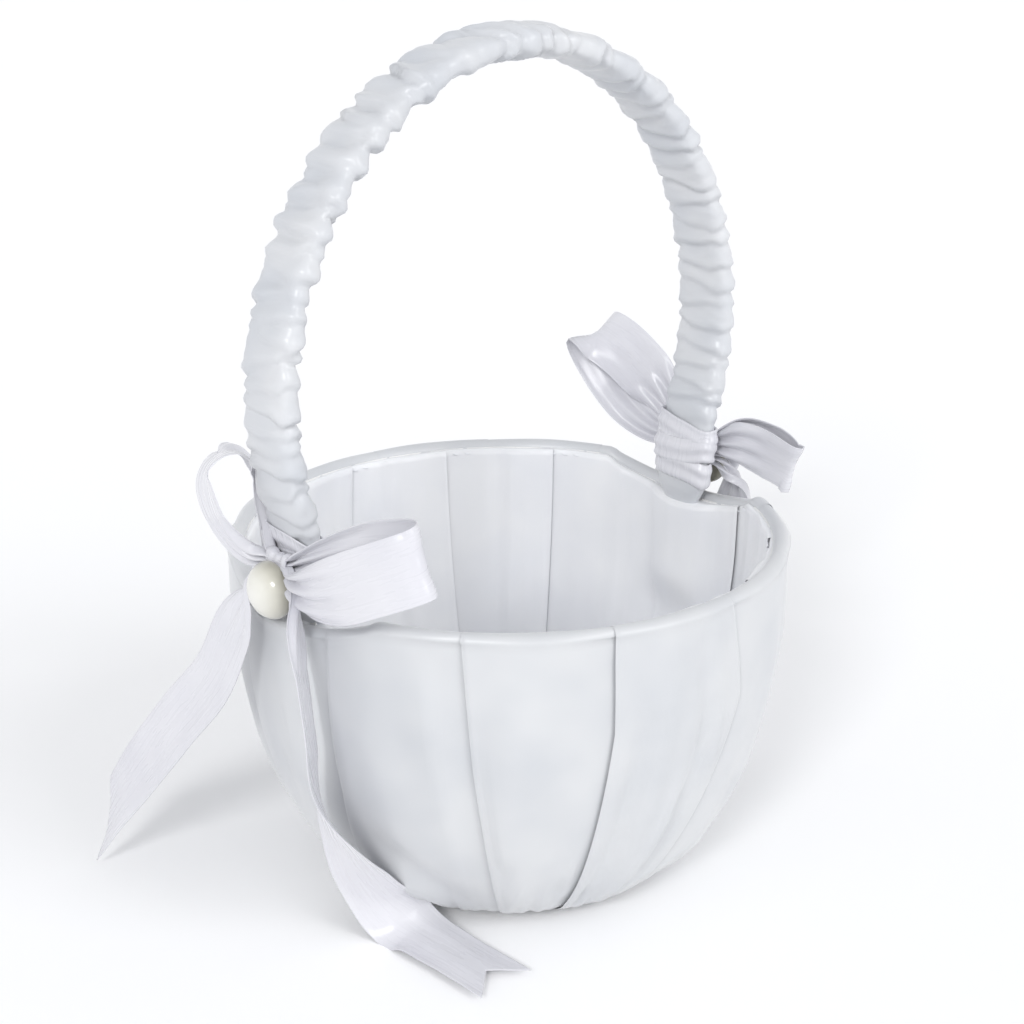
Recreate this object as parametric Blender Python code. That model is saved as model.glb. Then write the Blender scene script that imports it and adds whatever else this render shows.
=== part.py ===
"""Flower girl basket: a pleated satin bowl on a moulded shell, with a padded arch handle and two ribbon bows.

Metres, +Z up. The origin is the middle of the face that the basket stands on, the handle arches over in the
XZ plane, and the bows are tied at its two feet, on -X (near) and +X (far).
"""

import math

import bmesh
import bpy
import numpy as np
from mathutils import Matrix, Vector

MM = 0.001
GAP = 0.3 * MM  # left between pieces that touch

# The bowl
BOWL_HEIGHT = 84 * MM
BOWL_RADIUS = 66.5 * MM
FOOT_RADIUS = 37 * MM
BELLY_HEIGHT = 72 * MM  # the height at which the wall has reached its full radius
WALL_ROUNDNESS = 0.58  # the power that shapes the wall's lower curve
ROUND_SEGMENTS = 36
WALL_STEPS = 8

# Layers of the wall, each as its distance in from the outer surface
COVER = (0.0, 0.9 * MM)
SHELL = (2.5 * MM, 4.1 * MM)
COVER_RETURN = (4.5 * MM, 5.4 * MM)
LINING = (5.0 * MM, 5.9 * MM)
RETURN_DEPTH = 4.5 * MM  # how far the cover's hem comes down inside the rim
RIM_PADDING = 0.6 * MM
SADDLE_DEPTH = 6 * MM  # how far the rim dips at the handle's feet
SADDLE_ROUND = 68 * MM  # the radius of that dip

# Layers of the floor, from the table up
BASE_DISC_RADIUS = 35.5 * MM
BASE_DISC = (0.0, 1.0 * MM)
COVER_BOTTOM = 1.3 * MM
FLANGE_RADIUS = 27 * MM
FLOOR_CARD = (1.5 * MM, 41 * MM)  # thickness, radius
FLOOR_CLOTH = (0.8 * MM, 42 * MM)

# The handle
OVERALL_HEIGHT = 200 * MM
ARCH_SPRING = 124 * MM  # where the legs turn into the arch
ARCH_HALF_SPAN = 65.8 * MM
LEG_AT_KNOT = (59.4 * MM, 89 * MM)
LEG_AT_RIM = (58.9 * MM, 80 * MM)
HANDLE_WIDTH = 16.8 * MM
HANDLE_THICKNESS = 7.4 * MM
PINCHED_THICKNESS = 4.6 * MM  # where the bow is tied round the foot
PINCH_TOP = 104 * MM
SLEEVE_WALL = 0.5 * MM
HANDLE_POWER = 3.2  # how square the handle's section is
SLEEVE_END = 80 * MM
CORE_WIDTH = 10 * MM
CORE_THICKNESS = 1.8 * MM
CORE_END = 58 * MM
CORE_CLEARANCE = 1.0 * MM  # between the round shell and the middle of the flat strip
NOTCH_HALF_WIDTH = 10.5 * MM

# Rivets through the shell and the ends of the core
RIVET_HEIGHTS = (62 * MM, 70 * MM)
RIVET_RADIUS = 1.4 * MM
RIVET_HEAD = (2.8 * MM, 0.8 * MM)  # radius, thickness

# The bows
RIBBON_WIDTH = 15 * MM
RIBBON_THICKNESS = 0.25 * MM
SWALLOWTAIL = (0.0, 6.5 * MM, 0.0)  # how far back each edge and the middle of an end are cut
SLANT = (0.0, 7 * MM, 14 * MM)
SQUARE = (0.0, 0.0, 0.0)
TIE_HEIGHTS = (85.0 * MM, 95.0 * MM)
TIE_ROOM = 0.4 * MM
TIE_WALL = 0.4 * MM
KNOT_SPAN = (63.65 * MM, 66.4 * MM)  # distances out of its inner and outer faces
KNOT_HEIGHTS = (84.8 * MM, 93.4 * MM)
KNOT_HALF_LENGTH = 3.4 * MM
KNOT_WALL = 0.45 * MM
PEARL_RADIUS = 6.5 * MM
PEARL_DEPTH = 5.6 * MM
PEARL_CENTRE = (66.8 * MM, 85.5 * MM)  # distance out of its flat back, and height


# ---------------------------------------------------------------- helpers

def clear_scene():
    for obj in list(bpy.data.objects):
        bpy.data.objects.remove(obj, do_unlink=True)


def material(name, colour, roughness, metallic=0.0):
    made = bpy.data.materials.new(name)
    made.use_nodes = True
    shader = made.node_tree.nodes["Principled BSDF"]
    shader.inputs["Base Color"].default_value = (*colour, 1.0)
    shader.inputs["Roughness"].default_value = roughness
    shader.inputs["Metallic"].default_value = metallic
    return made


def new_object(name, mesh_data, finish, smooth_angle=40):
    mesh = bpy.data.meshes.new(name)
    mesh_data.normal_update()
    mesh_data.to_mesh(mesh)
    mesh_data.free()
    mesh.shade_smooth()
    mesh.set_sharp_from_angle(angle=math.radians(smooth_angle))
    obj = bpy.data.objects.new(name, mesh)
    obj.data.materials.append(finish)
    bpy.context.scene.collection.objects.link(obj)
    return obj


def bridged(bm, rings, close_rows, cap_ends):
    """Joins rows of vertices by quads, and closes the ends with one face each."""
    count = len(rings[0])
    rows = list(zip(rings, rings[1:]))
    if close_rows:
        rows.append((rings[-1], rings[0]))
    for row, following in rows:
        for i in range(count):
            j = (i + 1) % count
            bm.faces.new((row[i], row[j], following[j], following[i]))
    if cap_ends:
        bm.faces.new(list(reversed(rings[0])))
        bm.faces.new(rings[-1])
    bmesh.ops.recalc_face_normals(bm, faces=bm.faces)


def turned_ring(name, section, finish):
    """Turns a closed section of (radius, height) points, clear of the axis, about Z."""
    bm = bmesh.new()
    rings = []
    for k in range(ROUND_SEGMENTS):
        angle = 2 * math.pi * k / ROUND_SEGMENTS
        rings.append([bm.verts.new((r * math.cos(angle), r * math.sin(angle), z)) for r, z in section])
    bridged(bm, rings, close_rows=True, cap_ends=False)
    return new_object(name, bm, finish)


def turned_solid(name, profile, finish):
    """Turns a profile of (radius, height) points, which runs up from the bottom, into a solid with flat ends."""
    bm = bmesh.new()
    rings = []
    for r, z in profile:
        ring = []
        for k in range(ROUND_SEGMENTS):
            angle = 2 * math.pi * k / ROUND_SEGMENTS
            ring.append(bm.verts.new((r * math.cos(angle), r * math.sin(angle), z)))
        rings.append(ring)
    bridged(bm, rings, close_rows=False, cap_ends=True)
    return new_object(name, bm, finish)


def disc(name, radius, bottom, top, finish):
    edge = min(0.3 * MM, (top - bottom) / 3)
    profile = [(radius - edge, bottom), (radius, bottom + edge), (radius, top - edge), (radius - edge, top)]
    return turned_solid(name, profile, finish)


def cut(obj, cutter):
    step = obj.modifiers.new("cut_" + cutter.name, "BOOLEAN")
    step.operation = "DIFFERENCE"
    step.object = cutter
    cutter.hide_render = True
    cutter.display_type = "WIRE"


def smooth_path(points, steps):
    """A curve through rows of numbers that never swings past them, with the same number of steps between each two."""
    rows = np.array(points, float)
    lengths = np.linalg.norm(np.diff(rows[:, :3], axis=0), axis=1)
    slopes = np.diff(rows, axis=0) / lengths[:, None]
    before, after = slopes[:-1], slopes[1:]
    same_way = before * after > 0
    mean = np.where(same_way, 2 * before * after / np.where(same_way, before + after, 1.0), 0.0)
    tangents = np.vstack([slopes[0], mean, slopes[-1]])
    found = []
    for i, length in enumerate(lengths):
        for t in np.arange(steps) / steps:
            found.append(rows[i] * (1 + 2 * t) * (1 - t) ** 2 + rows[i + 1] * t * t * (3 - 2 * t)
                         + length * (tangents[i] * t * (1 - t) ** 2 + tangents[i + 1] * t * t * (t - 1)))
    found.append(rows[-1])
    return np.array(found)


# ---------------------------------------------------------------- the bowl

def wall_radius(height):
    rise = min(max((height - COVER_BOTTOM) / (BELLY_HEIGHT - COVER_BOTTOM), 0.0), 1.0)
    return FOOT_RADIUS + (BOWL_RADIUS - FOOT_RADIUS) * (1 - (1 - rise) ** 2) ** WALL_ROUNDNESS


def wall_line(depth, top):
    """The wall's line at a depth in from its outer surface, as (radius, height) points from the foot to the top."""
    line = []
    for i in range(WALL_STEPS + 1):
        share = (i / WALL_STEPS) ** 1.7
        height = COVER_BOTTOM + share * (BOWL_HEIGHT - COVER_BOTTOM)
        step = 0.05 * MM
        lower = max(height - step, COVER_BOTTOM)
        slope = Vector((wall_radius(height + step) - wall_radius(lower), height + step - lower)).normalized()
        radius = wall_radius(height) - slope.y * depth
        level = height + slope.x * depth
        if level < top - 0.5 * MM:
            line.append((radius, level))
    line.append((wall_radius(top) - depth, top))
    return line


def outer_cover(finish, cutters):
    """The satin cover: up the wall, over the rim, and a hem inside it, with a flange glued under the shell."""
    outside = wall_line(COVER[0], BOWL_HEIGHT - 0.5 * MM)
    inside = wall_line(COVER[1], BOWL_HEIGHT - COVER[1])
    hem_bottom = BOWL_HEIGHT - RETURN_DEPTH
    section = [(FLANGE_RADIUS, COVER_BOTTOM)] + outside
    section += [(BOWL_RADIUS - 0.5 * MM, BOWL_HEIGHT)]
    section += [(BOWL_RADIUS - COVER_RETURN[1] + 0.5 * MM, BOWL_HEIGHT)]
    section += [(BOWL_RADIUS - COVER_RETURN[1], BOWL_HEIGHT - 0.5 * MM)]
    section += [(BOWL_RADIUS - COVER_RETURN[1], hem_bottom), (BOWL_RADIUS - COVER_RETURN[0], hem_bottom)]
    section += [(BOWL_RADIUS - COVER_RETURN[0], BOWL_HEIGHT - COVER[1])]
    section += list(reversed(inside))
    section += [(FLANGE_RADIUS, COVER_BOTTOM + COVER[1])]
    obj = turned_ring("outer_cover", section, finish)
    for cutter in cutters:
        cut(obj, cutter)
    return obj


def bowl_shell(finish, cutters):
    top = BOWL_HEIGHT - COVER[1] - RIM_PADDING
    outside = wall_line(SHELL[0], top)
    inside = wall_line(SHELL[1], top)
    floor_bottom = outside[0][1]
    floor_top = inside[0][1]
    hub = 4 * MM  # the moulding's gate hole, which also lets glue through
    section = [(hub, floor_bottom)] + outside + list(reversed(inside)) + [(hub, floor_top)]
    obj = turned_ring("bowl_shell", section, finish)
    for cutter in cutters:
        cut(obj, cutter)
    return obj


def lining(finish, cutters):
    top = BOWL_HEIGHT - RETURN_DEPTH - GAP
    outside = wall_line(LINING[0], top)
    inside = wall_line(LINING[1], top)
    hem = 33 * MM
    section = [(hem, outside[0][1])] + outside + list(reversed(inside)) + [(hem, inside[0][1])]
    obj = turned_ring("lining", section, finish)
    for cutter in cutters:
        cut(obj, cutter)
    return obj


def floor_discs(card_finish, satin_finish):
    disc("base_disc", BASE_DISC_RADIUS, *BASE_DISC, satin_finish)
    card_bottom = COVER_BOTTOM + LINING[1] + GAP
    card_top = card_bottom + FLOOR_CARD[0]
    disc("floor_card", FLOOR_CARD[1] - 5 * MM, card_bottom, card_top, card_finish)
    cloth_bottom = card_top + GAP
    disc("floor_cloth", FLOOR_CLOTH[1] - 5 * MM, cloth_bottom, cloth_bottom + FLOOR_CLOTH[0], satin_finish)


# ---------------------------------------------------------------- the handle

def core_foot_radius():
    """How far out the middle of the core lies where it is riveted to the shell."""
    return wall_radius(CORE_END) - SHELL[1] - CORE_CLEARANCE - CORE_THICKNESS / 2


def handle_line(lowest, steps=3):
    """The handle's middle line in the XZ plane, from the foot on -X over the arch to the foot on +X."""
    top = OVERALL_HEIGHT - HANDLE_THICKNESS / 2
    leg = [LEG_AT_RIM, LEG_AT_KNOT, (61.6 * MM, 100 * MM), (64.6 * MM, 112 * MM)]
    if lowest < SLEEVE_END:
        foot = core_foot_radius()
        leg = [(foot, lowest), (foot, 65 * MM), (foot, 72 * MM)] + leg
    side = list(smooth_path(leg + [(ARCH_HALF_SPAN, ARCH_SPRING)], steps)[:-1])
    quarter = 9
    for i in range(quarter + 1):
        turn = math.pi / 2 * i / quarter
        side.append((ARCH_HALF_SPAN * math.cos(turn), ARCH_SPRING + (top - ARCH_SPRING) * math.sin(turn)))
    near = [(-x, z) for x, z in side]
    far = [(x, z) for x, z in reversed(side[:-1])]
    return np.array(near + far)


def handle_half_thickness(height):
    pinched = min(max((PINCH_TOP - height) / (PINCH_TOP - KNOT_HEIGHTS[1]), 0.0), 1.0)
    pinched = pinched * pinched * (3 - 2 * pinched)
    return (HANDLE_THICKNESS + (PINCHED_THICKNESS - HANDLE_THICKNESS) * pinched) / 2


def section_ring(half_width, half_thickness, count, power):
    """A rounded oblong of (across, out) points."""
    ring = []
    for k in range(count):
        turn = 2 * math.pi * k / count
        c, s = math.cos(turn), math.sin(turn)
        ring.append((half_width * math.copysign(abs(c) ** (2 / power), c),
                     half_thickness * math.copysign(abs(s) ** (2 / power), s)))
    return ring


def swept(bm, line, section_at):
    """Rings of vertices along a line in the XZ plane. section_at(height) gives each ring's points."""
    tangents = np.gradient(line, axis=0)
    tangents /= np.linalg.norm(tangents, axis=1)[:, None]
    rings = []
    for (x, z), (tx, tz) in zip(line, tangents):
        ring = []
        for across, out in section_at(z):
            ring.append(bm.verts.new((x - tz * out, across, z + tx * out)))
        rings.append(ring)
    return rings


def handle_core(finish, cutters):
    bm = bmesh.new()
    half = (CORE_WIDTH / 2, CORE_THICKNESS / 2)
    corners = [(half[0], -half[1]), (half[0], half[1]), (-half[0], half[1]), (-half[0], -half[1])]
    bridged(bm, swept(bm, handle_line(CORE_END), lambda z: corners), close_rows=False, cap_ends=True)
    obj = new_object("handle_core", bm, finish)
    for cutter in cutters:
        cut(obj, cutter)


def padded_tube(name, outer_inset, wall_at, finish):
    """A tube round the core: its outer skin lies outer_inset in from the handle's surface."""
    bm = bmesh.new()
    line = handle_line(SLEEVE_END)
    count = 12

    def outer(z):
        return section_ring(HANDLE_WIDTH / 2 - outer_inset, handle_half_thickness(z) - outer_inset,
                            count, HANDLE_POWER)

    outside = swept(bm, line, outer)
    inside = swept(bm, line, wall_at(count))
    for rings in (outside, [list(reversed(ring)) for ring in inside]):
        for row, following in zip(rings, rings[1:]):
            for i in range(count):
                j = (i + 1) % count
                bm.faces.new((row[i], row[j], following[j], following[i]))
    for end in (0, -1):
        for i in range(count):
            j = (i + 1) % count
            bm.faces.new((outside[end][i], outside[end][j], inside[end][j], inside[end][i]))
    bmesh.ops.recalc_face_normals(bm, faces=bm.faces)
    return new_object(name, bm, finish)


def handle_padding(satin_finish, foam_finish):
    def sleeve_inside(count):
        return lambda z: section_ring(HANDLE_WIDTH / 2 - SLEEVE_WALL, handle_half_thickness(z) - SLEEVE_WALL,
                                      count, HANDLE_POWER)

    def foam_inside(count):
        return lambda z: section_ring(CORE_WIDTH / 2 + GAP, CORE_THICKNESS / 2 + GAP, count, 12)

    padded_tube("handle_sleeve", 0.0, sleeve_inside, satin_finish)
    padded_tube("handle_wadding", SLEEVE_WALL + GAP, foam_inside, foam_finish)


# ---------------------------------------------------------------- fastenings

def rod(name, start, end, radius, finish, count=16):
    bm = bmesh.new()
    rings = []
    for x in (start, end):
        rings.append([bm.verts.new((x, radius * math.cos(a), radius * math.sin(a)))
                      for a in (2 * math.pi * (k + 0.4) / count for k in range(count))])
    bridged(bm, rings, close_rows=False, cap_ends=True)
    return new_object(name, bm, finish)


def rivet(name, side, height, finish):
    """A rivet along X: a head outside the shell, the shank through shell and core, and a head inside."""
    radius = wall_radius(height)
    outer_face = radius - SHELL[0] + GAP / 2
    inner_face = core_foot_radius() - CORE_THICKNESS / 2 - GAP
    head, thick = RIVET_HEAD
    profile = [(inner_face - thick, head * 0.8), (inner_face - thick * 0.5, head), (inner_face, head),
               (inner_face, RIVET_RADIUS), (outer_face, RIVET_RADIUS), (outer_face, head),
               (outer_face + thick * 0.5, head), (outer_face + thick, head * 0.8)]
    bm = bmesh.new()
    count = 14
    rings = []
    for x, r in profile:
        rings.append([bm.verts.new((side * x, r * math.cos(a), height + r * math.sin(a)))
                      for a in (2 * math.pi * k / count for k in range(count))])
    bridged(bm, rings, close_rows=False, cap_ends=True)
    return new_object(name, bm, finish)


def rivet_holes(finish):
    holes = []
    for side, word in ((-1, "near"), (1, "far")):
        for i, height in enumerate(RIVET_HEIGHTS):
            hole = rod(f"hole_{word}_{i}", side * 50 * MM, side * 80 * MM, RIVET_RADIUS + GAP, finish)
            hole.location.z = height
            holes.append(hole)
    return holes


def foot_notches(finish):
    """Boxes that clear the cover's hem and the lining where the handle's feet pass."""
    notches = []
    for side, word in ((-1, "near"), (1, "far")):
        bm = bmesh.new()
        bmesh.ops.create_cube(bm, size=1.0)
        outer = BOWL_RADIUS - SHELL[1] - 0.05 * MM
        inner = 45 * MM
        bottom = CORE_END - 2 * MM
        size = (outer - inner, 2 * NOTCH_HALF_WIDTH, 60 * MM)
        centre = (side * (outer + inner) / 2, 0, bottom + size[2] / 2)
        bmesh.ops.transform(bm, matrix=Matrix.Translation(centre) @ Matrix.Diagonal((*size, 1)), verts=bm.verts)
        notches.append(new_object(f"notch_{word}", bm, finish))
    return notches


def rim_saddle(name, drop, finish):
    """A cylinder along X that dips the rim at both feet, drop below the depth that the finished rim has."""
    saddle = rod(name, -100 * MM, 100 * MM, SADDLE_ROUND, finish, count=160)
    saddle.location.z = BOWL_HEIGHT - SADDLE_DEPTH - drop + SADDLE_ROUND
    return saddle


# ---------------------------------------------------------------- the bows

# Ribbon routes in millimetres, as seen with the knot on -X: the point, the direction of the ribbon's width,
# and how much of its width is left where it is gathered.
NEAR_LOOPS = [
    (-65.25, -3.0, 91.0, 0, 0, 1, 0.2),
    (-65.25, 3.4, 91.0, 0, 0, 1, 0.2),
    (-65.75, 4.8, 91.1, 0, 0, 1, 0.2),
    (-68.2, 8.5, 94.5, -0.25, -0.25, 0.9, 0.45),
    (-71.5, 14.5, 100.0, -0.6, -0.65, 0.4, 0.8),
    (-72.8, 20.5, 107.5, -0.67, -0.74, 0, 1.0),
    (-69.3, 17.8, 114.5, -0.67, -0.74, 0, 1.0),
    (-65.8, 15.2, 111.5, -0.67, -0.74, 0, 1.0),
    (-65.0, 13.0, 104.0, -0.6, -0.65, 0.3, 0.85),
    (-65.0, 8.8, 94.6, -0.25, -0.25, 0.9, 0.45),
    (-64.75, 4.8, 91.1, 0, 0, 1, 0.2),
    (-64.85, 3.4, 91.0, 0, 0, 1, 0.2),
    (-64.85, -3.4, 91.0, 0, 0, 1, 0.2),
    (-64.85, -4.8, 91.2, 0, 0, 1, 0.22),
    (-64.6, -9.2, 93.8, 0, 0.15, 1, 0.5),
    (-59.2, -20.2, 95.1, 0, 0.39, 0.92, 0.85),
    (-56.2, -31.1, 99.3, 0, 0.39, 0.92, 1.0),
    (-59.5, -36.5, 101.5, 0, 0.39, 0.92, 1.0),
    (-65.0, -32.8, 100.1, 0, 0.39, 0.92, 1.0),
    (-67.0, -21.8, 95.7, 0, 0.39, 0.92, 0.85),
    (-68.0, -9.0, 93.8, 0, 0.15, 1, 0.5),
    (-65.75, -4.8, 91.2, 0, 0, 1, 0.22),
    (-65.65, -3.4, 91.0, 0, 0, 1, 0.2),
    (-65.65, 3.0, 91.0, 0, 0, 1, 0.2),
]
FAR_LOOPS = [
    (-65.25, -3.0, 91.0, 0, 0, 1, 0.2),
    (-65.25, 3.4, 91.0, 0, 0, 1, 0.2),
    (-65.75, 4.8, 91.1, 0, 0, 1, 0.2),
    (-67.8, 8.5, 93.5, 0, 0, 1, 0.45),
    (-70.9, 13.2, 95.5, 0.1, -0.25, 0.96, 0.75),
    (-73.0, 21.5, 98.2, 0.1, -0.25, 0.96, 1.0),
    (-70.0, 27.0, 99.5, 0.1, -0.25, 0.96, 1.0),
    (-65.2, 23.1, 97.8, 0.1, -0.25, 0.96, 1.0),
    (-64.4, 14.6, 95.1, 0.1, -0.25, 0.96, 0.75),
    (-64.8, 8.5, 93.5, 0, 0, 1, 0.45),
    (-64.75, 4.8, 91.1, 0, 0, 1, 0.2),
    (-64.85, 3.4, 91.0, 0, 0, 1, 0.2),
    (-64.85, -3.4, 91.0, 0, 0, 1, 0.2),
    (-64.75, -4.8, 91.1, 0, 0, 1, 0.2),
    (-64.4, -9.0, 94.5, -0.1, 0.15, 0.97, 0.45),
    (-59.0, -15.5, 100.0, -0.5, 0.4, 0.75, 0.7),
    (-55.4, -22.5, 104.0, -0.74, 0.56, 0.36, 0.95),
    (-57.9, -31.8, 112.7, -0.74, 0.56, 0.36, 1.0),
    (-61.5, -37.0, 113.5, -0.74, 0.56, 0.36, 1.0),
    (-62.9, -35.2, 107.5, -0.74, 0.56, 0.36, 1.0),
    (-61.0, -25.4, 98.0, -0.74, 0.56, 0.36, 0.95),
    (-64.9, -15.5, 95.5, -0.4, 0.35, 0.85, 0.7),
    (-67.5, -9.0, 94.5, -0.1, 0.15, 0.97, 0.45),
    (-65.85, -4.8, 91.1, 0, 0, 1, 0.2),
    (-65.65, -3.4, 91.0, 0, 0, 1, 0.2),
    (-65.65, 3.0, 91.0, 0, 0, 1, 0.2),
]
NEAR_TAILS = [
    (-86.0, 58.0, 4.6, -0.3, -0.9, 0.3, 1.0),
    (-82.0, 50.0, 18.0, -0.25, -0.93, 0.2, 1.0),
    (-78.0, 41.0, 37.0, -0.15, -0.98, -0.1, 1.0),
    (-75.0, 28.0, 58.0, -0.15, -0.98, -0.1, 1.0),
    (-72.6, 17.5, 76.0, -0.15, -0.95, 0.2, 0.8),
    (-70.6, 13.0, 83.5, -0.1, -0.8, 0.5, 0.5),
    (-67.8, 10.5, 87.0, 0, -0.4, 0.9, 0.4),
    (-64.7, 7.6, 87.0, 0, 0, 1, 0.28),
    (-64.4, 4.8, 87.2, 0, 0, 1, 0.2),
    (-64.4, 3.4, 87.2, 0, 0, 1, 0.2),
    (-64.4, -3.4, 87.2, 0, 0, 1, 0.2),
    (-64.4, -4.8, 87.2, 0, 0, 1, 0.2),
    (-64.7, -7.6, 87.0, 0, 0, 1, 0.28),
    (-67.8, -10.0, 87.0, -0.2, -0.4, 0.9, 0.4),
    (-70.4, -11.0, 82.5, -0.5, -0.6, 0.5, 0.5),
    (-71.4, -11.4, 76.0, -0.5, -0.8, 0.1, 0.7),
    (-71.4, -11.8, 66.0, -0.4, -0.88, 0, 0.85),
    (-70.2, -12.0, 52.0, -0.35, -0.93, 0, 1.0),
    (-67.8, -12.0, 38.0, 0, -1, 0, 1.0),
    (-64.5, -12.5, 25.0, 0.3, -0.9, -0.1, 1.0),
    (-60.0, -15.0, 14.5, 0.75, -0.6, -0.2, 1.0),
    (-54.0, -20.5, 6.5, 0.85, -0.5, -0.1, 1.0),
    (-49.5, -29.0, 2.0, 0.92, -0.35, 0, 1.0),
    (-46.5, -39.0, 0.8, 0.95, -0.25, 0, 1.0),
    (-44.5, -51.0, 0.5, 0.97, -0.2, 0, 1.0),
]
FAR_TAILS = [
    (-79.0, 20.5, 4.5, 0.15, -0.97, 0.1, 1.0),
    (-77.6, 19.0, 14.0, 0.12, -0.97, 0.1, 1.0),
    (-75.5, 17.5, 28.0, 0.1, -0.99, 0, 1.0),
    (-74.5, 15.5, 48.0, 0, -1, 0, 1.0),
    (-73.0, 13.5, 70.0, 0, -0.98, 0.2, 0.8),
    (-70.6, 12.0, 83.0, -0.1, -0.8, 0.5, 0.5),
    (-67.8, 10.5, 87.0, 0, -0.4, 0.9, 0.4),
    (-64.7, 7.6, 87.0, 0, 0, 1, 0.28),
    (-64.4, 4.8, 87.2, 0, 0, 1, 0.2),
    (-64.4, 3.4, 87.2, 0, 0, 1, 0.2),
    (-64.4, -3.4, 87.2, 0, 0, 1, 0.2),
    (-64.4, -4.8, 87.2, 0, 0, 1, 0.2),
    (-64.7, -7.6, 87.0, 0, 0, 1, 0.28),
    (-67.8, -10.5, 87.0, -0.1, -0.4, 0.9, 0.4),
    (-70.4, -13.5, 82.0, -0.1, -0.8, 0.5, 0.6),
    (-71.0, -18.0, 70.0, -0.2, -0.95, 0.1, 0.85),
    (-70.5, -24.0, 50.0, -0.3, -0.95, 0, 1.0),
    (-68.5, -30.0, 30.0, -0.4, -0.9, 0, 1.0),
    (-66.6, -34.5, 14.0, -0.42, -0.88, 0, 1.0),
    (-65.8, -36.5, 5.0, -0.42, -0.88, 0, 1.0),
]


def ribbon(name, route, finish, turned, cuts):
    """A flat ribbon solid along a route, two panels wide, whose two ends are cut back as cuts says."""
    rows = np.delete(smooth_path(route, 2), [1, -2], axis=0)  # a cut end needs its last step whole
    points = rows[:, :3] * MM
    tangents = np.gradient(points, axis=0)
    tangents /= np.linalg.norm(tangents, axis=1)[:, None]
    widths = rows[:, 3:6] - (rows[:, 3:6] * tangents).sum(1)[:, None] * tangents
    widths /= np.linalg.norm(widths, axis=1)[:, None]
    normals = np.cross(tangents, widths)
    half = rows[:, 6:7] * RIBBON_WIDTH / 2
    spin = -1 if turned else 1
    bm = bmesh.new()
    rings = []
    for i, point in enumerate(points):
        lift = normals[i] * RIBBON_THICKNESS / 2
        reach = widths[i] * half[i]
        back = np.zeros(3)
        if i == 0:
            back = np.array(cuts[0])
        if i == len(points) - 1:
            back = -np.array(cuts[1])
        left, middle, right = (point + reach * k + tangents[i] * b for k, b in zip((-1, 0, 1), back))
        places = [left - lift, middle - lift, right - lift, right + lift, middle + lift, left + lift]
        rings.append([bm.verts.new((spin * p[0], spin * p[1], p[2])) for p in places])
    for row, following in zip(rings, rings[1:]):
        for i in range(6):
            j = (i + 1) % 6
            if i in (3, 4):  # the back splits where the front does, so that a twist keeps its thickness
                bm.faces.new((row[i], row[j], following[i]))
                bm.faces.new((row[j], following[j], following[i]))
            else:
                bm.faces.new((row[i], row[j], following[j]))
                bm.faces.new((row[i], following[j], following[i]))
    for end in (rings[0], rings[-1]):
        bm.faces.new((end[0], end[1], end[4], end[5]))
        bm.faces.new((end[1], end[2], end[3], end[4]))
    bmesh.ops.recalc_face_normals(bm, faces=bm.faces)
    return new_object(name, bm, finish)


def leg_centre(height):
    """How far out the handle's middle line lies at a height of its leg."""
    leg = handle_line(SLEEVE_END)[:20]
    return float(np.interp(height, leg[:, 1], -leg[:, 0]))


def tie(name, side, finish):
    """The turn of ribbon round the handle's foot, just above the rim."""
    bm = bmesh.new()
    count = 20
    bottom, top = TIE_HEIGHTS
    levels = [bottom + (top - bottom) * i / 3 for i in range(4)]
    rings = []
    for z, inset in [(z, TIE_ROOM + TIE_WALL) for z in levels] + [(z, TIE_ROOM) for z in reversed(levels)]:
        ring = section_ring(HANDLE_WIDTH / 2 + inset, handle_half_thickness(z) + inset, count, HANDLE_POWER)
        rings.append([bm.verts.new((side * (leg_centre(z) + o), a, z)) for a, o in ring])
    bridged(bm, rings, close_rows=True, cap_ends=False)
    return new_object(name, bm, finish)


def knot(name, side, finish):
    """The short wrap that gathers the loops and tails, a band round them along Y."""
    bm = bmesh.new()
    count = 20
    inner_x, outer_x = KNOT_SPAN
    centre_x = (inner_x + outer_x) / 2
    centre_z = sum(KNOT_HEIGHTS) / 2
    half_x = (outer_x - inner_x) / 2
    half_z = (KNOT_HEIGHTS[1] - KNOT_HEIGHTS[0]) / 2
    rings = []
    for y, inset in ((-1, KNOT_WALL), (-1, 0), (1, 0), (1, KNOT_WALL)):
        ring = section_ring(half_z - inset, half_x - inset, count, 5)
        rings.append([bm.verts.new((side * (centre_x + o), y * KNOT_HALF_LENGTH, centre_z + a)) for a, o in ring])
    bridged(bm, rings, close_rows=True, cap_ends=False)
    return new_object(name, bm, finish)


def pearl(name, side, finish):
    """A flat-backed half pearl facing out along X."""
    bm = bmesh.new()
    back, height = PEARL_CENTRE
    count = 24
    rows = 6
    rings = []
    for i in range(rows):
        turn = math.pi / 2 * i / rows
        x, r = back + PEARL_DEPTH * math.sin(turn), PEARL_RADIUS * math.cos(turn)
        rings.append([bm.verts.new((side * x, r * math.cos(a), height + r * math.sin(a)))
                      for a in (2 * math.pi * k / count for k in range(count))])
    bridged(bm, rings, close_rows=False, cap_ends=True)
    return new_object(name, bm, finish)


def bow(word, side, loops, tails, tail_cuts, satin_finish, pearl_finish):
    turned = side > 0
    tie(f"{word}_bow_tie", side, satin_finish)
    knot(f"{word}_bow_knot", side, satin_finish)
    ribbon(f"{word}_bow_loops", loops, satin_finish, turned, (SQUARE, SQUARE))
    ribbon(f"{word}_bow_tails", tails, satin_finish, turned, tail_cuts)
    pearl(f"{word}_bow_pearl", side, pearl_finish)


# ---------------------------------------------------------------- the basket

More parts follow.
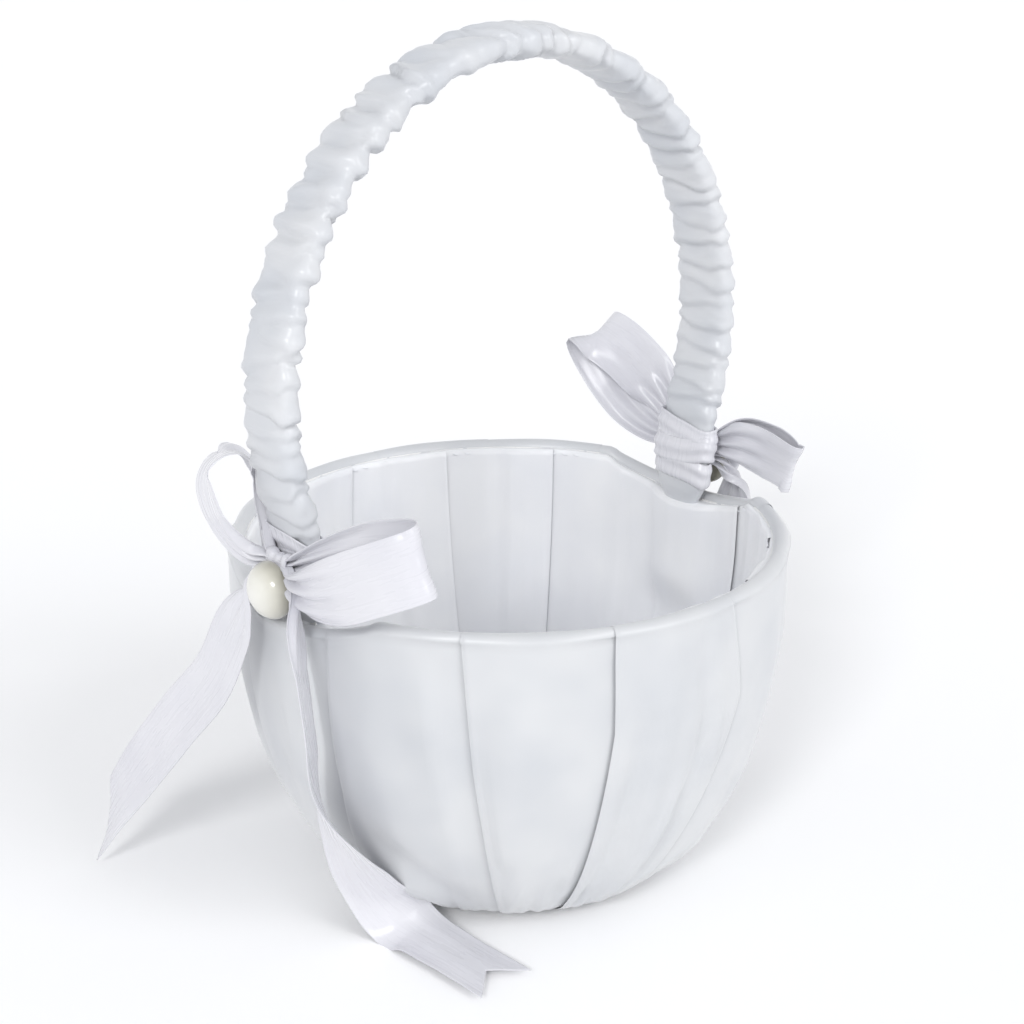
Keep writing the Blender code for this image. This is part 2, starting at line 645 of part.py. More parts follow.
def build():
    clear_scene()
    satin = material("white_satin", (0.86, 0.87, 0.91), 0.35)
    ribbon_satin = material("ribbon_satin", (0.88, 0.88, 0.93), 0.3)
    plastic = material("moulded_plastic", (0.88, 0.88, 0.87), 0.45)
    card = material("grey_card", (0.62, 0.6, 0.56), 0.9)
    foam = material("white_wadding", (0.9, 0.9, 0.9), 0.95)
    metal = material("rivet_metal", (0.75, 0.75, 0.77), 0.3, metallic=1.0)
    half_pearl = material("ivory_pearl", (0.86, 0.84, 0.77), 0.18)

    holes = rivet_holes(plastic)
    notches = foot_notches(satin)
    cover_saddle = rim_saddle("cover_saddle", 0.0, satin)
    shell_saddle = rim_saddle("shell_saddle", COVER[1] + RIM_PADDING, plastic)
    outer_cover(satin, notches + [cover_saddle])
    bowl_shell(plastic, holes + [shell_saddle])
    lining(satin, notches)
    floor_discs(card, satin)
    handle_core(plastic, holes)
    handle_padding(satin, foam)
    for side, word in ((-1, "near"), (1, "far")):
        for height, place in zip(RIVET_HEIGHTS, ("lower", "upper")):
            rivet(f"{word}_{place}_rivet", side, height, metal)
    bow("near", -1, NEAR_LOOPS, NEAR_TAILS, (SLANT, SWALLOWTAIL), ribbon_satin, half_pearl)
    bow("far", 1, FAR_LOOPS, FAR_TAILS, (SWALLOWTAIL, SWALLOWTAIL), ribbon_satin, half_pearl)


build()
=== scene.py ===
"""Looks of the flower girl basket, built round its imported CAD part. Metres, +Z up."""

import math

import bpy
import numpy as np
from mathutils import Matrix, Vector


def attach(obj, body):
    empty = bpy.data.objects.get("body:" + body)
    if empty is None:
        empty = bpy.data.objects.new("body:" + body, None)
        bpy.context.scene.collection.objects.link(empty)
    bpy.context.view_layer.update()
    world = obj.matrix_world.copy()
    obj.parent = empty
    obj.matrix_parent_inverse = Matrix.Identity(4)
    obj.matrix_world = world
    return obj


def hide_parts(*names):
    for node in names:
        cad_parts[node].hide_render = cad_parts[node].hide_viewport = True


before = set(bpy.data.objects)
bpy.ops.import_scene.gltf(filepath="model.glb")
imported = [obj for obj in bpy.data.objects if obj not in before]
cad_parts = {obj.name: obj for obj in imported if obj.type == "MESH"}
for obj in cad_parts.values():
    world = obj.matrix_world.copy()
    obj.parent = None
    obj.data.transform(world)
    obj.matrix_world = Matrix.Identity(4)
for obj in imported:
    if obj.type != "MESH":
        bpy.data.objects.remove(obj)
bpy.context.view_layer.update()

MM = 0.001

# ---------------------------------------------------------------- driving dimensions

# The bowl, as the CAD part has it
BOWL_HEIGHT = 84 * MM
BOWL_RADIUS = 66.5 * MM
FOOT_RADIUS = 37 * MM
BELLY_HEIGHT = 72 * MM
COVER_BOTTOM = 1.3 * MM
WALL_ROUNDNESS = 0.58
SADDLE_DEPTH = 6 * MM
SADDLE_ROUND = 68 * MM

# The cloth of the bowl
PLEATS = 13
FIRST_PLEAT = math.radians(-167)
COVER_WIDTH = 560 * MM  # cut width, before it was pleated round the bowl
LINING_WIDTH = 480 * MM
FIRST_LINING_PLEAT = math.radians(10)
PANEL_COLUMNS = 20  # of mesh, between two pleats
LINING_SEAM = 62.6 * MM
STITCH_RING = 61.15 * MM

# The handle
OVERALL_HEIGHT = 200 * MM
ARCH_SPRING = 124 * MM
ARCH_HALF_SPAN = 65.8 * MM
HANDLE_WIDTH = 16.8 * MM
HANDLE_THICKNESS = 7.4 * MM
PINCHED_THICKNESS = 4.6 * MM
PINCH_TOP = 104 * MM
KNOT_TOP = 93.4 * MM
PADDING_END = 73 * MM
PADDING_FULL = 80 * MM
FOOT_NARROW = 71 * MM
FOOT_FULL = 84 * MM

# The bows
RIBBON_WIDTH = 15 * MM
KNOT_CENTRE = (65.05 * MM, 89.1 * MM)  # out from the axis, and up
PEARL_BACK = 66.85 * MM
PEARL_HEIGHT = 85.5 * MM
PEARL_RADIUS = 6.5  # in mm, as the pearl's profile is

# The camera
CAMERA_DISTANCE = 0.450
CAMERA_ELEVATION = math.radians(20.35)
CAMERA_TURN = math.radians(41)
CAMERA_AIM = (0.0007, 0.0869)  # to the right of the axis, and up
LENS = 66.66


# ---------------------------------------------------------------- mesh helpers

def blend_step(x, low, high):
    """0 below low, 1 above high, smooth between."""
    t = np.clip((x - low) / (high - low), 0.0, 1.0)
    return t * t * (3 - 2 * t)


def bump(x, centre, half_width):
    """A smooth hump of height 1 at centre that ends half_width away."""
    t = np.clip(1 - np.abs(x - centre) / half_width, 0.0, 1.0)
    return t * t * (3 - 2 * t)


def smooth_path(points, steps):
    """A curve through rows of numbers that never swings past them."""
    rows = np.array(points, float)
    lengths = np.linalg.norm(np.diff(rows[:, :3], axis=0), axis=1)
    slopes = np.diff(rows, axis=0) / lengths[:, None]
    before, after = slopes[:-1], slopes[1:]
    same_way = before * after > 0
    mean = np.where(same_way, 2 * before * after / np.where(same_way, before + after, 1.0), 0.0)
    tangents = np.vstack([slopes[0], mean, slopes[-1]])
    found = []
    for i, length in enumerate(lengths):
        for t in np.arange(steps) / steps:
            found.append(rows[i] * (1 + 2 * t) * (1 - t) ** 2 + rows[i + 1] * t * t * (3 - 2 * t)
                         + length * (tangents[i] * t * (1 - t) ** 2 + tangents[i + 1] * t * t * (t - 1)))
    found.append(rows[-1])
    return np.array(found)


def rounded_path(points, steps):
    """A soft curve through rows of numbers, with even turns (Catmull-Rom)."""
    rows = np.array(points, float)
    ends = np.vstack([2 * rows[0] - rows[1], rows, 2 * rows[-1] - rows[-2]])
    found = []
    for i in range(1, len(ends) - 2):
        a, b, c, d = ends[i - 1:i + 3]
        for t in np.arange(steps) / steps:
            found.append(0.5 * (2 * b + (c - a) * t + (2 * a - 5 * b + 4 * c - d) * t * t
                                + (3 * b - a - 3 * c + d) * t ** 3))
    found.append(rows[-1])
    return np.array(found)


def resampled(rows, count):
    """The same curve with evenly spaced rows."""
    lengths = np.linalg.norm(np.diff(rows[:, :3], axis=0), axis=1)
    along = np.concatenate([[0.0], np.cumsum(lengths)])
    wanted = np.linspace(0.0, along[-1], count)
    return np.column_stack([np.interp(wanted, along, rows[:, k]) for k in range(rows.shape[1])])


def cloth_grid(name, grid, finish, close_columns=False, thickness=0.0):
    """A mesh over a grid of points (rows x columns x 3), with a UV map in metres of cloth."""
    rows, columns = grid.shape[:2]
    mesh = bpy.data.meshes.new(name)
    faces = []
    for i in range(rows - 1):
        for j in range(columns if close_columns else columns - 1):
            k, m = i + 1, (j + 1) % columns
            faces.append((i * columns + j, i * columns + m, k * columns + m, k * columns + j))
    mesh.from_pydata(grid.reshape(-1, 3).tolist(), [], faces)
    along = np.linalg.norm(np.diff(grid, axis=0, append=grid[:1]), axis=2).mean(1)
    across = np.linalg.norm(np.diff(grid, axis=1, append=grid[:, :1]), axis=2).mean(0)
    v = np.concatenate([[0.0], np.cumsum(along)])
    u = np.concatenate([[0.0], np.cumsum(across)])
    layer = mesh.uv_layers.new(name="cloth")
    spots = []
    for i in range(rows - 1):
        for j in range(columns if close_columns else columns - 1):
            spots += [u[j], v[i], u[j + 1], v[i], u[j + 1], v[i + 1], u[j], v[i + 1]]
    layer.data.foreach_set("uv", spots)
    mesh.shade_smooth()
    obj = bpy.data.objects.new(name, mesh)
    bpy.context.scene.collection.objects.link(obj)
    obj.data.materials.append(finish)
    if thickness:
        wall = obj.modifiers.new("thickness", "SOLIDIFY")
        wall.thickness = thickness
        wall.offset = 0.0
        wall.use_even_offset = False
    return obj


def keep(obj, slot, *nodes):
    """The piece rides on the basket, and stands for CAD nodes if it has any; the slot is not used."""
    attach(obj, "root")
    if nodes:
        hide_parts(*nodes)
    return obj


# ---------------------------------------------------------------- materials

def new_material(name):
    """A material with its nodes, its links and its shader."""
    made = bpy.data.materials.new(name)
    made.use_nodes = True
    return made, made.node_tree.nodes, made.node_tree.links, made.node_tree.nodes["Principled BSDF"]


def noise(nodes, links, vector, scale, detail):
    node = nodes.new("ShaderNodeTexNoise")
    node.inputs["Scale"].default_value = scale
    node.inputs["Detail"].default_value = detail
    links.new(vector, node.inputs["Vector"])
    return node


def stretched(nodes, links, source, scale):
    node = nodes.new("ShaderNodeMapping")
    node.inputs["Scale"].default_value = scale
    links.new(source, node.inputs["Vector"])
    return node.outputs["Vector"]


def satin(name, light, shade, roughness=0.36, thread=0.22 * MM, along_v=True):
    """Woven satin: long glossy floats, fine thread lines, slubs, and a colour that is a little uneven."""
    made, nodes, links, shader = new_material(name)
    cloth = nodes.new("ShaderNodeUVMap")
    cloth.uv_map = "cloth"
    where = nodes.new("ShaderNodeTexCoord")
    fine, slow = (1 / thread, 0.07 / thread) if along_v else (0.07 / thread, 1 / thread)
    spot = cloth.outputs["UV"]
    floats = noise(nodes, links, stretched(nodes, links, spot, (fine, slow, 1)), 1.0, 1.0)
    slubs = noise(nodes, links, stretched(nodes, links, spot, (fine / 6, slow / 4, 1)), 1.0, 2.0)
    drift = noise(nodes, links, where.outputs["Object"], 45.0, 2.0)

    colour = nodes.new("ShaderNodeMix")
    colour.data_type = "RGBA"
    colour.inputs["A"].default_value = (*shade, 1)
    colour.inputs["B"].default_value = (*light, 1)
    spread = nodes.new("ShaderNodeMapRange")
    spread.inputs["From Min"].default_value = 0.3
    spread.inputs["From Max"].default_value = 0.62
    links.new(drift.outputs["Fac"], spread.inputs["Value"])
    links.new(spread.outputs["Result"], colour.inputs["Factor"])
    links.new(colour.outputs["Result"], shader.inputs["Base Color"])

    gloss = nodes.new("ShaderNodeMapRange")
    gloss.inputs["To Min"].default_value = roughness - 0.02
    gloss.inputs["To Max"].default_value = roughness + 0.03
    links.new(slubs.outputs["Fac"], gloss.inputs["Value"])
    links.new(gloss.outputs["Result"], shader.inputs["Roughness"])

    threads = nodes.new("ShaderNodeBump")
    threads.inputs["Strength"].default_value = 0.04
    threads.inputs["Distance"].default_value = 0.05 * MM
    links.new(floats.outputs["Fac"], threads.inputs["Height"])
    weave = nodes.new("ShaderNodeBump")
    weave.inputs["Strength"].default_value = 0.02
    weave.inputs["Distance"].default_value = 0.15 * MM
    links.new(slubs.outputs["Fac"], weave.inputs["Height"])
    links.new(threads.outputs["Normal"], weave.inputs["Normal"])
    links.new(weave.outputs["Normal"], shader.inputs["Normal"])

    shader.inputs["Specular IOR Level"].default_value = 0.45
    shader.inputs["Anisotropic"].default_value = 0.5
    shader.inputs["Anisotropic Rotation"].default_value = 0.25 if along_v else 0.0
    shader.inputs["Sheen Weight"].default_value = 0.25
    shader.inputs["Sheen Roughness"].default_value = 0.4
    direction = nodes.new("ShaderNodeTangent")
    direction.direction_type = "UV_MAP"
    direction.uv_map = "cloth"
    links.new(direction.outputs["Tangent"], shader.inputs["Tangent"])
    return made


def speckled(name, colour, darker, roughness, grain, relief, metallic=0.0):
    """A plain material with a fine grain, for plastic, card, wadding and metal."""
    made, nodes, links, shader = new_material(name)
    where = nodes.new("ShaderNodeTexCoord")
    fine = noise(nodes, links, where.outputs["Object"], grain, 4.0)
    broad = noise(nodes, links, where.outputs["Object"], grain / 12, 2.0)
    mix = nodes.new("ShaderNodeMix")
    mix.data_type = "RGBA"
    mix.inputs["A"].default_value = (*darker, 1)
    mix.inputs["B"].default_value = (*colour, 1)
    links.new(broad.outputs["Fac"], mix.inputs["Factor"])
    links.new(mix.outputs["Result"], shader.inputs["Base Color"])
    dull = nodes.new("ShaderNodeMapRange")
    dull.inputs["To Min"].default_value = roughness - 0.05
    dull.inputs["To Max"].default_value = roughness + 0.05
    links.new(fine.outputs["Fac"], dull.inputs["Value"])
    links.new(dull.outputs["Result"], shader.inputs["Roughness"])
    bumps = nodes.new("ShaderNodeBump")
    bumps.inputs["Strength"].default_value = 0.3
    bumps.inputs["Distance"].default_value = relief
    links.new(fine.outputs["Fac"], bumps.inputs["Height"])
    links.new(bumps.outputs["Normal"], shader.inputs["Normal"])
    shader.inputs["Metallic"].default_value = metallic
    return made


def pearl_material(name):
    """Imitation pearl: warm ivory under a clear gloss, with painted shade that darkens it towards its rim.
    """
    made, nodes, links, shader = new_material(name)
    cloth = nodes.new("ShaderNodeUVMap")
    cloth.uv_map = "cloth"
    parts = nodes.new("ShaderNodeSeparateXYZ")
    links.new(cloth.outputs["UV"], parts.inputs["Vector"])
    # Painted shade: the ramp darkens the pearl from light ivory in the middle to dark olive at the rim, and
    # the noise adds a random mottle.
    ramp = nodes.new("ShaderNodeValToRGB")
    ramp.color_ramp.elements[0].position = 0.0
    ramp.color_ramp.elements[0].color = (0.3, 0.285, 0.225, 1)
    ramp.color_ramp.elements[1].position = 1.0
    ramp.color_ramp.elements[1].color = (0.76, 0.75, 0.7, 1)
    between = [(0.16, (0.4, 0.385, 0.32, 1)), (0.42, (0.6, 0.585, 0.51, 1)), (0.7, (0.71, 0.7, 0.64, 1))]
    for place, colour in between:
        ramp.color_ramp.elements.new(place).color = colour
    reach = nodes.new("ShaderNodeMath")
    reach.operation = "MULTIPLY_ADD"
    reach.inputs[1].default_value = 1 / (9.0 * MM)
    reach.inputs[2].default_value = -6.7 / 9.0  # the cloth map starts at the middle of the flat back
    links.new(parts.outputs["Y"], reach.inputs[0])
    where = nodes.new("ShaderNodeTexCoord")
    cloud = noise(nodes, links, where.outputs["Object"], 180.0, 2.0)
    uneven = nodes.new("ShaderNodeMath")
    uneven.operation = "MULTIPLY_ADD"
    uneven.inputs[1].default_value = 0.12
    links.new(cloud.outputs["Fac"], uneven.inputs[0])
    links.new(reach.outputs[0], uneven.inputs[2])
    links.new(uneven.outputs[0], ramp.inputs["Fac"])
    links.new(ramp.outputs["Color"], shader.inputs["Base Color"])
    shader.inputs["Roughness"].default_value = 0.3
    shader.inputs["Coat Weight"].default_value = 0.9
    shader.inputs["Coat Roughness"].default_value = 0.06
    shader.inputs["Coat IOR"].default_value = 1.6
    shader.inputs["Sheen Weight"].default_value = 0.15
    return made


# ---------------------------------------------------------------- the bowl's cloth

def wall_radius(height):
    """The bowl wall's radius: full at the belly and drawn in below it."""
    rise = np.clip((height - COVER_BOTTOM) / (BELLY_HEIGHT - COVER_BOTTOM), 0.0, 1.0)
    return FOOT_RADIUS + (BOWL_RADIUS - FOOT_RADIUS) * (1 - (1 - rise) ** 2) ** WALL_ROUNDNESS


def wall_normal(height):
    """The wall's outward direction as (radial, up)."""
    step = 0.3 * MM
    low = np.maximum(height - step, COVER_BOTTOM)
    out = wall_radius(height + step) - wall_radius(low)
    up = height + step - low
    size = np.hypot(out, up)
    return up / size, -out / size


def rim_dip(azimuth):
    """How far the rim is down at an azimuth: it dips at the handle's two feet."""
    y = BOWL_RADIUS * np.sin(azimuth)
    inside = np.sqrt(np.maximum(SADDLE_ROUND ** 2 - y ** 2, 0.0))
    dip = SADDLE_DEPTH - (SADDLE_ROUND - inside)
    return np.where(dip > 0, dip, 0.0) * blend_step(dip, 0.0, 1.5 * MM)


class Fold:
    """One knife pleat: its azimuth, how many degrees it drifts by height in mm, and the side on top.

    The top side is +1 where the side of larger azimuth lies on top, and -1 where the other one does.
    """

    def __init__(self, azimuth, top_side, drift):
        self.azimuth = azimuth
        self.top_side = top_side
        self.drift = drift

    def at(self, height):
        heights, turns = zip(*self.drift)
        return self.azimuth + math.radians(np.interp(height / MM, heights, turns))


def fold_line(depth, low, high):
    """The cloth's path through a pleat, as rows of (across, out), with the side of larger azimuth on top."""
    points = [
        (-1.8 * MM, low), (0.2 * MM, low - 0.2 * MM), (0.5 * depth, low - 0.5 * MM),
        (depth - 0.5 * MM, low - 0.5 * MM), (depth, low - 0.35 * MM), (depth - 0.5 * MM, low - 0.2 * MM),
        (0.5 * depth, low - 0.15 * MM), (1.0 * MM, low + 0.1 * MM), (-0.15 * MM, low * 0.6 + high * 0.4),
        (-0.45 * MM, low * 0.3 + high * 0.7), (-0.3 * MM, high - 0.25 * MM),
        (0.35 * MM, high - 0.02 * MM), (1.6 * MM, high),
    ]
    return rounded_path([(a, 0.0, o) for a, o in points], 2)[:, (0, 2)]


def under_level(fold, level):
    """Where the lower layer lies at a fold: the folds that turn away from the others are flatter."""
    low, high = level
    return low + (high - low) * (0.65 if fold.top_side < 0 else 0.0)


def pleated_row(folds, height, radius, level, cloth_width, panel_shape):
    """Azimuths and outward offsets of one row of pleated cloth, all the way round."""
    depth = (cloth_width - 2 * math.pi * radius) / (2 * len(folds))
    azimuths, offsets = [], []
    for i, fold in enumerate(folds):
        following = folds[(i + 1) % len(folds)]
        high = level[1]
        low = under_level(fold, level)
        section = fold_line(depth, low, high)
        if fold.top_side < 0:
            section = section[::-1] * (-1, 1)
        here = fold.at(height)
        azimuths += list(here + section[:, 0] / radius)
        offsets += list(section[:, 1])
        start = here + section[-1, 0] / radius
        end = following.at(height) + (2 * math.pi if i == len(folds) - 1 else 0.0)
        end -= (1.8 * MM if following.top_side > 0 else 1.6 * MM) / radius
        first = high if fold.top_side > 0 else low
        last = under_level(following, level) if following.top_side > 0 else high
        x = np.arange(1, PANEL_COLUMNS) / PANEL_COLUMNS
        azimuth = start + (end - start) * x
        azimuths += list(azimuth)
        offsets += list(panel_shape(i, x, azimuth, height, first, last))
    return np.array(azimuths), np.array(offsets)


def hollow(azimuth, height, line, width, depth):
    """A soft valley (depth below 0) or ridge along a line of (azimuth in degrees, height in mm)."""
    (a0, h0), (a1, h1) = line
    x = np.degrees(azimuth) * 1.1
    px, pz = x - a0 * 1.1, height / MM - h0
    dx, dz = (a1 - a0) * 1.1, h1 - h0
    t = np.clip((px * dx + pz * dz) / (dx * dx + dz * dz), 0.0, 1.0)
    away = np.hypot(px - t * dx, pz - t * dz)
    fading = np.sqrt(np.clip(np.sin(math.pi * (0.06 + 0.88 * t)), 0, 1))
    return depth * MM * np.exp(-(away / width) ** 2) * fading


COVER_FOLDS = [
    Fold(FIRST_PLEAT, 1, [(0, -4), (40, 0), (84, 0)]),
    Fold(math.radians(-139.3), 1, [(0, 6.5), (16, 5), (50, 2), (84, 0)]),
    Fold(math.radians(-111), 1, [(0, -4), (18, -2.4), (59, 0.6), (84, 0)]),
    Fold(math.radians(-84), -1, [(0, -7), (20, -4), (58, 5), (84, 0)]),
    Fold(math.radians(-56.5), -1, [(0, 3), (50, -2), (84, 0)]),
    Fold(math.radians(-28.5), 1, [(0, -3), (50, 1), (84, 0)]),
    Fold(math.radians(-1), 1, [(0, 2), (50, 0), (84, 0)]),
    Fold(math.radians(27), 1, [(0, 5), (40, 2), (84, 0)]),
    Fold(math.radians(54.5), 1, [(0, -4), (50, -2), (84, 0)]),
    Fold(math.radians(82), -1, [(0, 3), (50, -2), (84, 0)]),
    Fold(math.radians(110), 1, [(0, -3), (50, 1), (84, 0)]),
    Fold(math.radians(138), 1, [(0, 5), (50, 2), (84, 0)]),
    Fold(math.radians(165.5), 1, [(0, -2), (50, -1), (84, 0)]),
]

# Soft valleys and ridges in the cover: (azimuth, height) to (azimuth, height), half width, depth
COVER_DENTS = [
    (((-163, 30), (-143, 8)), 4.0, -1.4),
    (((-166, 20), (-150, 6)), 3.5, 1.1),
    (((-154, 78), (-151, 30)), 5.0, -0.5),
    (((-147, 76), (-142, 20)), 3.0, 0.7),
    (((-130, 76), (-134, 10)), 5.0, 0.9),
    (((-119, 70), (-123, 24)), 5.0, -0.9),
    (((-109, 52), (-116, 8)), 2.0, 1.5),
    (((-104, 60), (-110, 10)), 2.6, -1.2),
    (((-99, 78), (-104, 20)), 3.0, 0.8),
    (((-94, 44), (-102, 12)), 2.2, 1.4),
    (((-89, 60), (-97, 14)), 2.5, -1.0),
    (((-132, 24), (-136, 4)), 1.8, -1.1),
    (((-128, 18), (-131, 4)), 1.5, 0.9),
    (((-122, 16), (-108, 5)), 4.0, -1.1),
    (((-88, 78), (-84, 40)), 1.5, 0.6),
    (((-92, 78), (-89, 36)), 1.5, -0.7),
    (((-70, 70), (-72, 20)), 5.0, -1.0),
    (((-40, 70), (-44, 18)), 5.0, -1.1),
    (((-33, 60), (-36, 8)), 2.5, 1.2),
    (((-14, 66), (-16, 20)), 5.0, -1.0),
    (((14, 70), (10, 14)), 5.0, -1.1),
    (((21, 50), (20, 8)), 2.5, 1.2),
    (((42, 66), (46, 16)), 5.0, -1.1),
    (((70, 72), (64, 18)), 4.0, 1.1),
    (((96, 70), (92, 14)), 5.0, -1.2),
    (((103, 50), (100, 8)), 2.5, 1.2),
    (((124, 68), (128, 14)), 5.0, -1.1),
    (((150, 66), (146, 18)), 5.0, -1.1),
    (((176, 60), (172, 20)), 5.0, -1.1),
]


def cover_panel(i, x, azimuth, height, first, last):
    """How far a panel stands out: it falls from its top edge to where the next one covers it, and puffs."""
    h = height / MM
    puff = (0.4 + 0.75 * bump(h, 46, 52)) * MM
    held = blend_step(h, 2, 12)
    shape = first + (last - first) * x ** 1.6 + puff * held * np.sin(math.pi * x) ** 1.2
    turn = (azimuth + math.pi) % (2 * math.pi) - math.pi
    for line, width, depth in COVER_DENTS:
        shape = shape + hollow(turn, height, line, width, depth) * held
    gathers = np.sin(azimuth * 61 + 2.1 * np.sin(azimuth * 7)) * np.sin(azimuth * 23 + 1.0)
    shape = shape + 0.45 * MM * gathers * bump(h, 7, 17) * np.sin(math.pi * x) ** 0.5
    soft = np.sin(azimuth * 11 + height / MM * 0.09 + i * 1.7) * np.sin(height / MM * 0.11 + azimuth * 5 + i)
    return np.maximum(shape + 0.28 * MM * soft * held * np.sin(math.pi * x), -2.2 * MM)


def bowl_point(azimuth, radius, height):
    """A row of points round the bowl."""
    return np.stack([radius * np.cos(azimuth), radius * np.sin(azimuth), height], axis=-1)


def cover(finish):
    """The pleated outer cover: flange under the shell, wall, roll over the rim, and hem inside."""
    rows = []
    for radius in (28 * MM, 31.5 * MM, 34.5 * MM):
        azimuth, offset = pleated_row(COVER_FOLDS, 0.0, radius, (-0.25 * MM, 0.25 * MM), COVER_WIDTH * 0.85,
                                      lambda i, x, a, h, first, last: first + (last - first) * x)
        rows.append(bowl_point(azimuth, radius, 2.2 * MM - offset * 1.2))
    for share in np.linspace(0.0, 1.0, 60):
        height = COVER_BOTTOM + 0.6 * MM + (share ** 1.35) * (BOWL_HEIGHT - 2.6 * MM - COVER_BOTTOM)
        radius = float(wall_radius(height))
        out, up = wall_normal(height)
        size = 0.35 + 0.65 * float(blend_step(height, 1.5 * MM, 9 * MM))
        size *= 1 - 0.35 * float(blend_step(height, 74 * MM, 82 * MM))
        azimuth, offset = pleated_row(COVER_FOLDS, height, radius, (-1.4 * MM * size, -0.45 * MM * size),
                                      COVER_WIDTH, cover_panel)
        drop = rim_dip(azimuth) * blend_step(height, 30 * MM, BOWL_HEIGHT)
        rows.append(bowl_point(azimuth, radius + out * offset, height + up * offset - drop))
    azimuth, offset = pleated_row(COVER_FOLDS, BOWL_HEIGHT, BOWL_RADIUS, (-0.5 * MM, 0.0), COVER_WIDTH,
                                  cover_panel)
    drop = rim_dip(azimuth)
    roll = 2.1 * MM
    for turn in np.linspace(12, 180, 10):
        t = math.radians(turn)
        size = roll + offset * (1 - 0.85 * blend_step(turn, 0, 90))
        radius = BOWL_RADIUS - roll + size * math.cos(t)
        rows.append(bowl_point(azimuth, radius, BOWL_HEIGHT - roll - drop + size * math.sin(t)))
    for level in (1.5 * MM, 3.2 * MM):
        radius = BOWL_RADIUS - 2 * roll - offset * 0.15
        rows.append(bowl_point(azimuth, radius, BOWL_HEIGHT - roll - level - drop))
    obj = cloth_grid("pleated_cover", np.array(rows), finish, close_columns=True)
    keep(obj, "satin", "outer_cover")


LINING_FOLDS = [
    Fold(FIRST_LINING_PLEAT + math.radians(extra) + 2 * math.pi * i / PLEATS, side, [(0, tilt), (84, 0)])
    for i, (extra, side, tilt) in enumerate([
        (0, -1, -6), (0.6, 1, 1), (0, 1, -2), (-1.9, 1, 5), (1, 1, -2), (-2, 1, 4), (0, 1, 3), (1, 1, -3),
        (-1, 1, 4), (0, 1, -2), (2, 1, 3), (0, 1, -4), (-2, 1, 2)])
]


def lining_panel(i, x, azimuth, height, first, last):
    """How far a panel of the lining stands in: like the cover's, with finer gathers."""
    puff = (0.4 + 1.0 * bump(height / MM, 45, 50)) * MM
    soft = np.sin(azimuth * 9 + height / MM * 0.07 + i * 2.3) * np.sin(height / MM * 0.09 + i)
    gathers = np.sin(azimuth * 37 + i + 0.02 * height / MM) + 0.6 * np.sin(azimuth * 59 + 2 * i)
    swell = puff + 0.45 * MM * soft + 0.28 * MM * gathers
    return first + (last - first) * x ** 1.5 + swell * np.sin(math.pi * x)


def foot_swell(azimuth, height):
    """How far the lining stands in where it covers the handle's foot."""
    y = 60 * MM * np.sin(azimuth)
    beside = np.exp(-(np.abs(y) / (10.5 * MM)) ** 4)
    wide = np.exp(-(y / (17 * MM)) ** 2)
    risen = blend_step(height, 44 * MM, 60 * MM)
    return (3.3 * beside + 0.8 * wide) * MM * risen


def lining_cloth(finish):
    """The lining: from under the floor cloth up the wall's inside to its seam just below the rim."""
    rows = []
    for share in np.linspace(0.0, 1.0, 60):
        height = 5.2 * MM + share ** 1.25 * (BOWL_HEIGHT - 7.0 * MM)
        top = BOWL_HEIGHT - 1.8 * MM
        h = min(height, top)
        out, up = wall_normal(max(h - 3 * MM, COVER_BOTTOM))
        inset = 4.9 * MM
        radius = float(wall_radius(h)) - out * inset
        level = h - up * inset
        size = 0.6 + 0.4 * float(bump(h / MM, 40, 45))
        azimuth, offset = pleated_row(LINING_FOLDS, h, radius, (0.0, 1.1 * MM * size), LINING_WIDTH,
                                      lining_panel)
        inward = offset + foot_swell(azimuth, h)
        drop = rim_dip(azimuth) * blend_step(h, 20 * MM, top)
        rows.append(bowl_point(azimuth, radius - out * inward, level - up * inward - drop))
    last = rows[-1]
    seam = bowl_point(azimuth, LINING_SEAM, last[:, 2] - 0.2 * MM)
    rows.append((last + seam) / 2 + np.array([0, 0, 0.35 * MM]))
    rows.append(seam)
    obj = cloth_grid("gathered_lining", np.array(rows), finish, close_columns=True)
    keep(obj, "satin", "lining")


# ---------------------------------------------------------------- the handle

def handle_line(step=0.8 * MM):
    """The handle's middle line in the XZ plane, from below the rim at one foot to the other."""
    top = OVERALL_HEIGHT - HANDLE_THICKNESS / 2
    leg = [(58.4, 73), (58.9, 80), (59.4, 89), (61.6, 100), (64.6, 112),
           (ARCH_HALF_SPAN / MM, ARCH_SPRING / MM)]
    side = list(smooth_path([(x, z, 0) for x, z in leg], 10)[:-1, :2] * MM)
    for turn in np.linspace(0, math.pi / 2, 60):
        side.append((ARCH_HALF_SPAN * math.cos(turn), ARCH_SPRING + (top - ARCH_SPRING) * math.sin(turn)))
    line = np.array([(-x, 0.0, z) for x, z in side] + [(x, 0.0, z) for x, z in reversed(side[:-1])])
    length = np.linalg.norm(np.diff(line, axis=0), axis=1).sum()
    return resampled(line, int(length / step))


def half_thickness(height):
    """Half the handle's thickness: it is pinched under the bow, and its padding ends below it."""
    pinched = 1 - blend_step(height, KNOT_TOP, PINCH_TOP)
    thick = HANDLE_THICKNESS + (PINCHED_THICKNESS - HANDLE_THICKNESS) * pinched
    return thick / 2 * (0.45 + 0.55 * blend_step(height, PADDING_END, PADDING_FULL))


def half_width(height):
    """Half the handle's width: its foot narrows inside the wall."""
    return HANDLE_WIDTH / 2 * (0.42 + 0.58 * blend_step(height, FOOT_NARROW, FOOT_FULL))


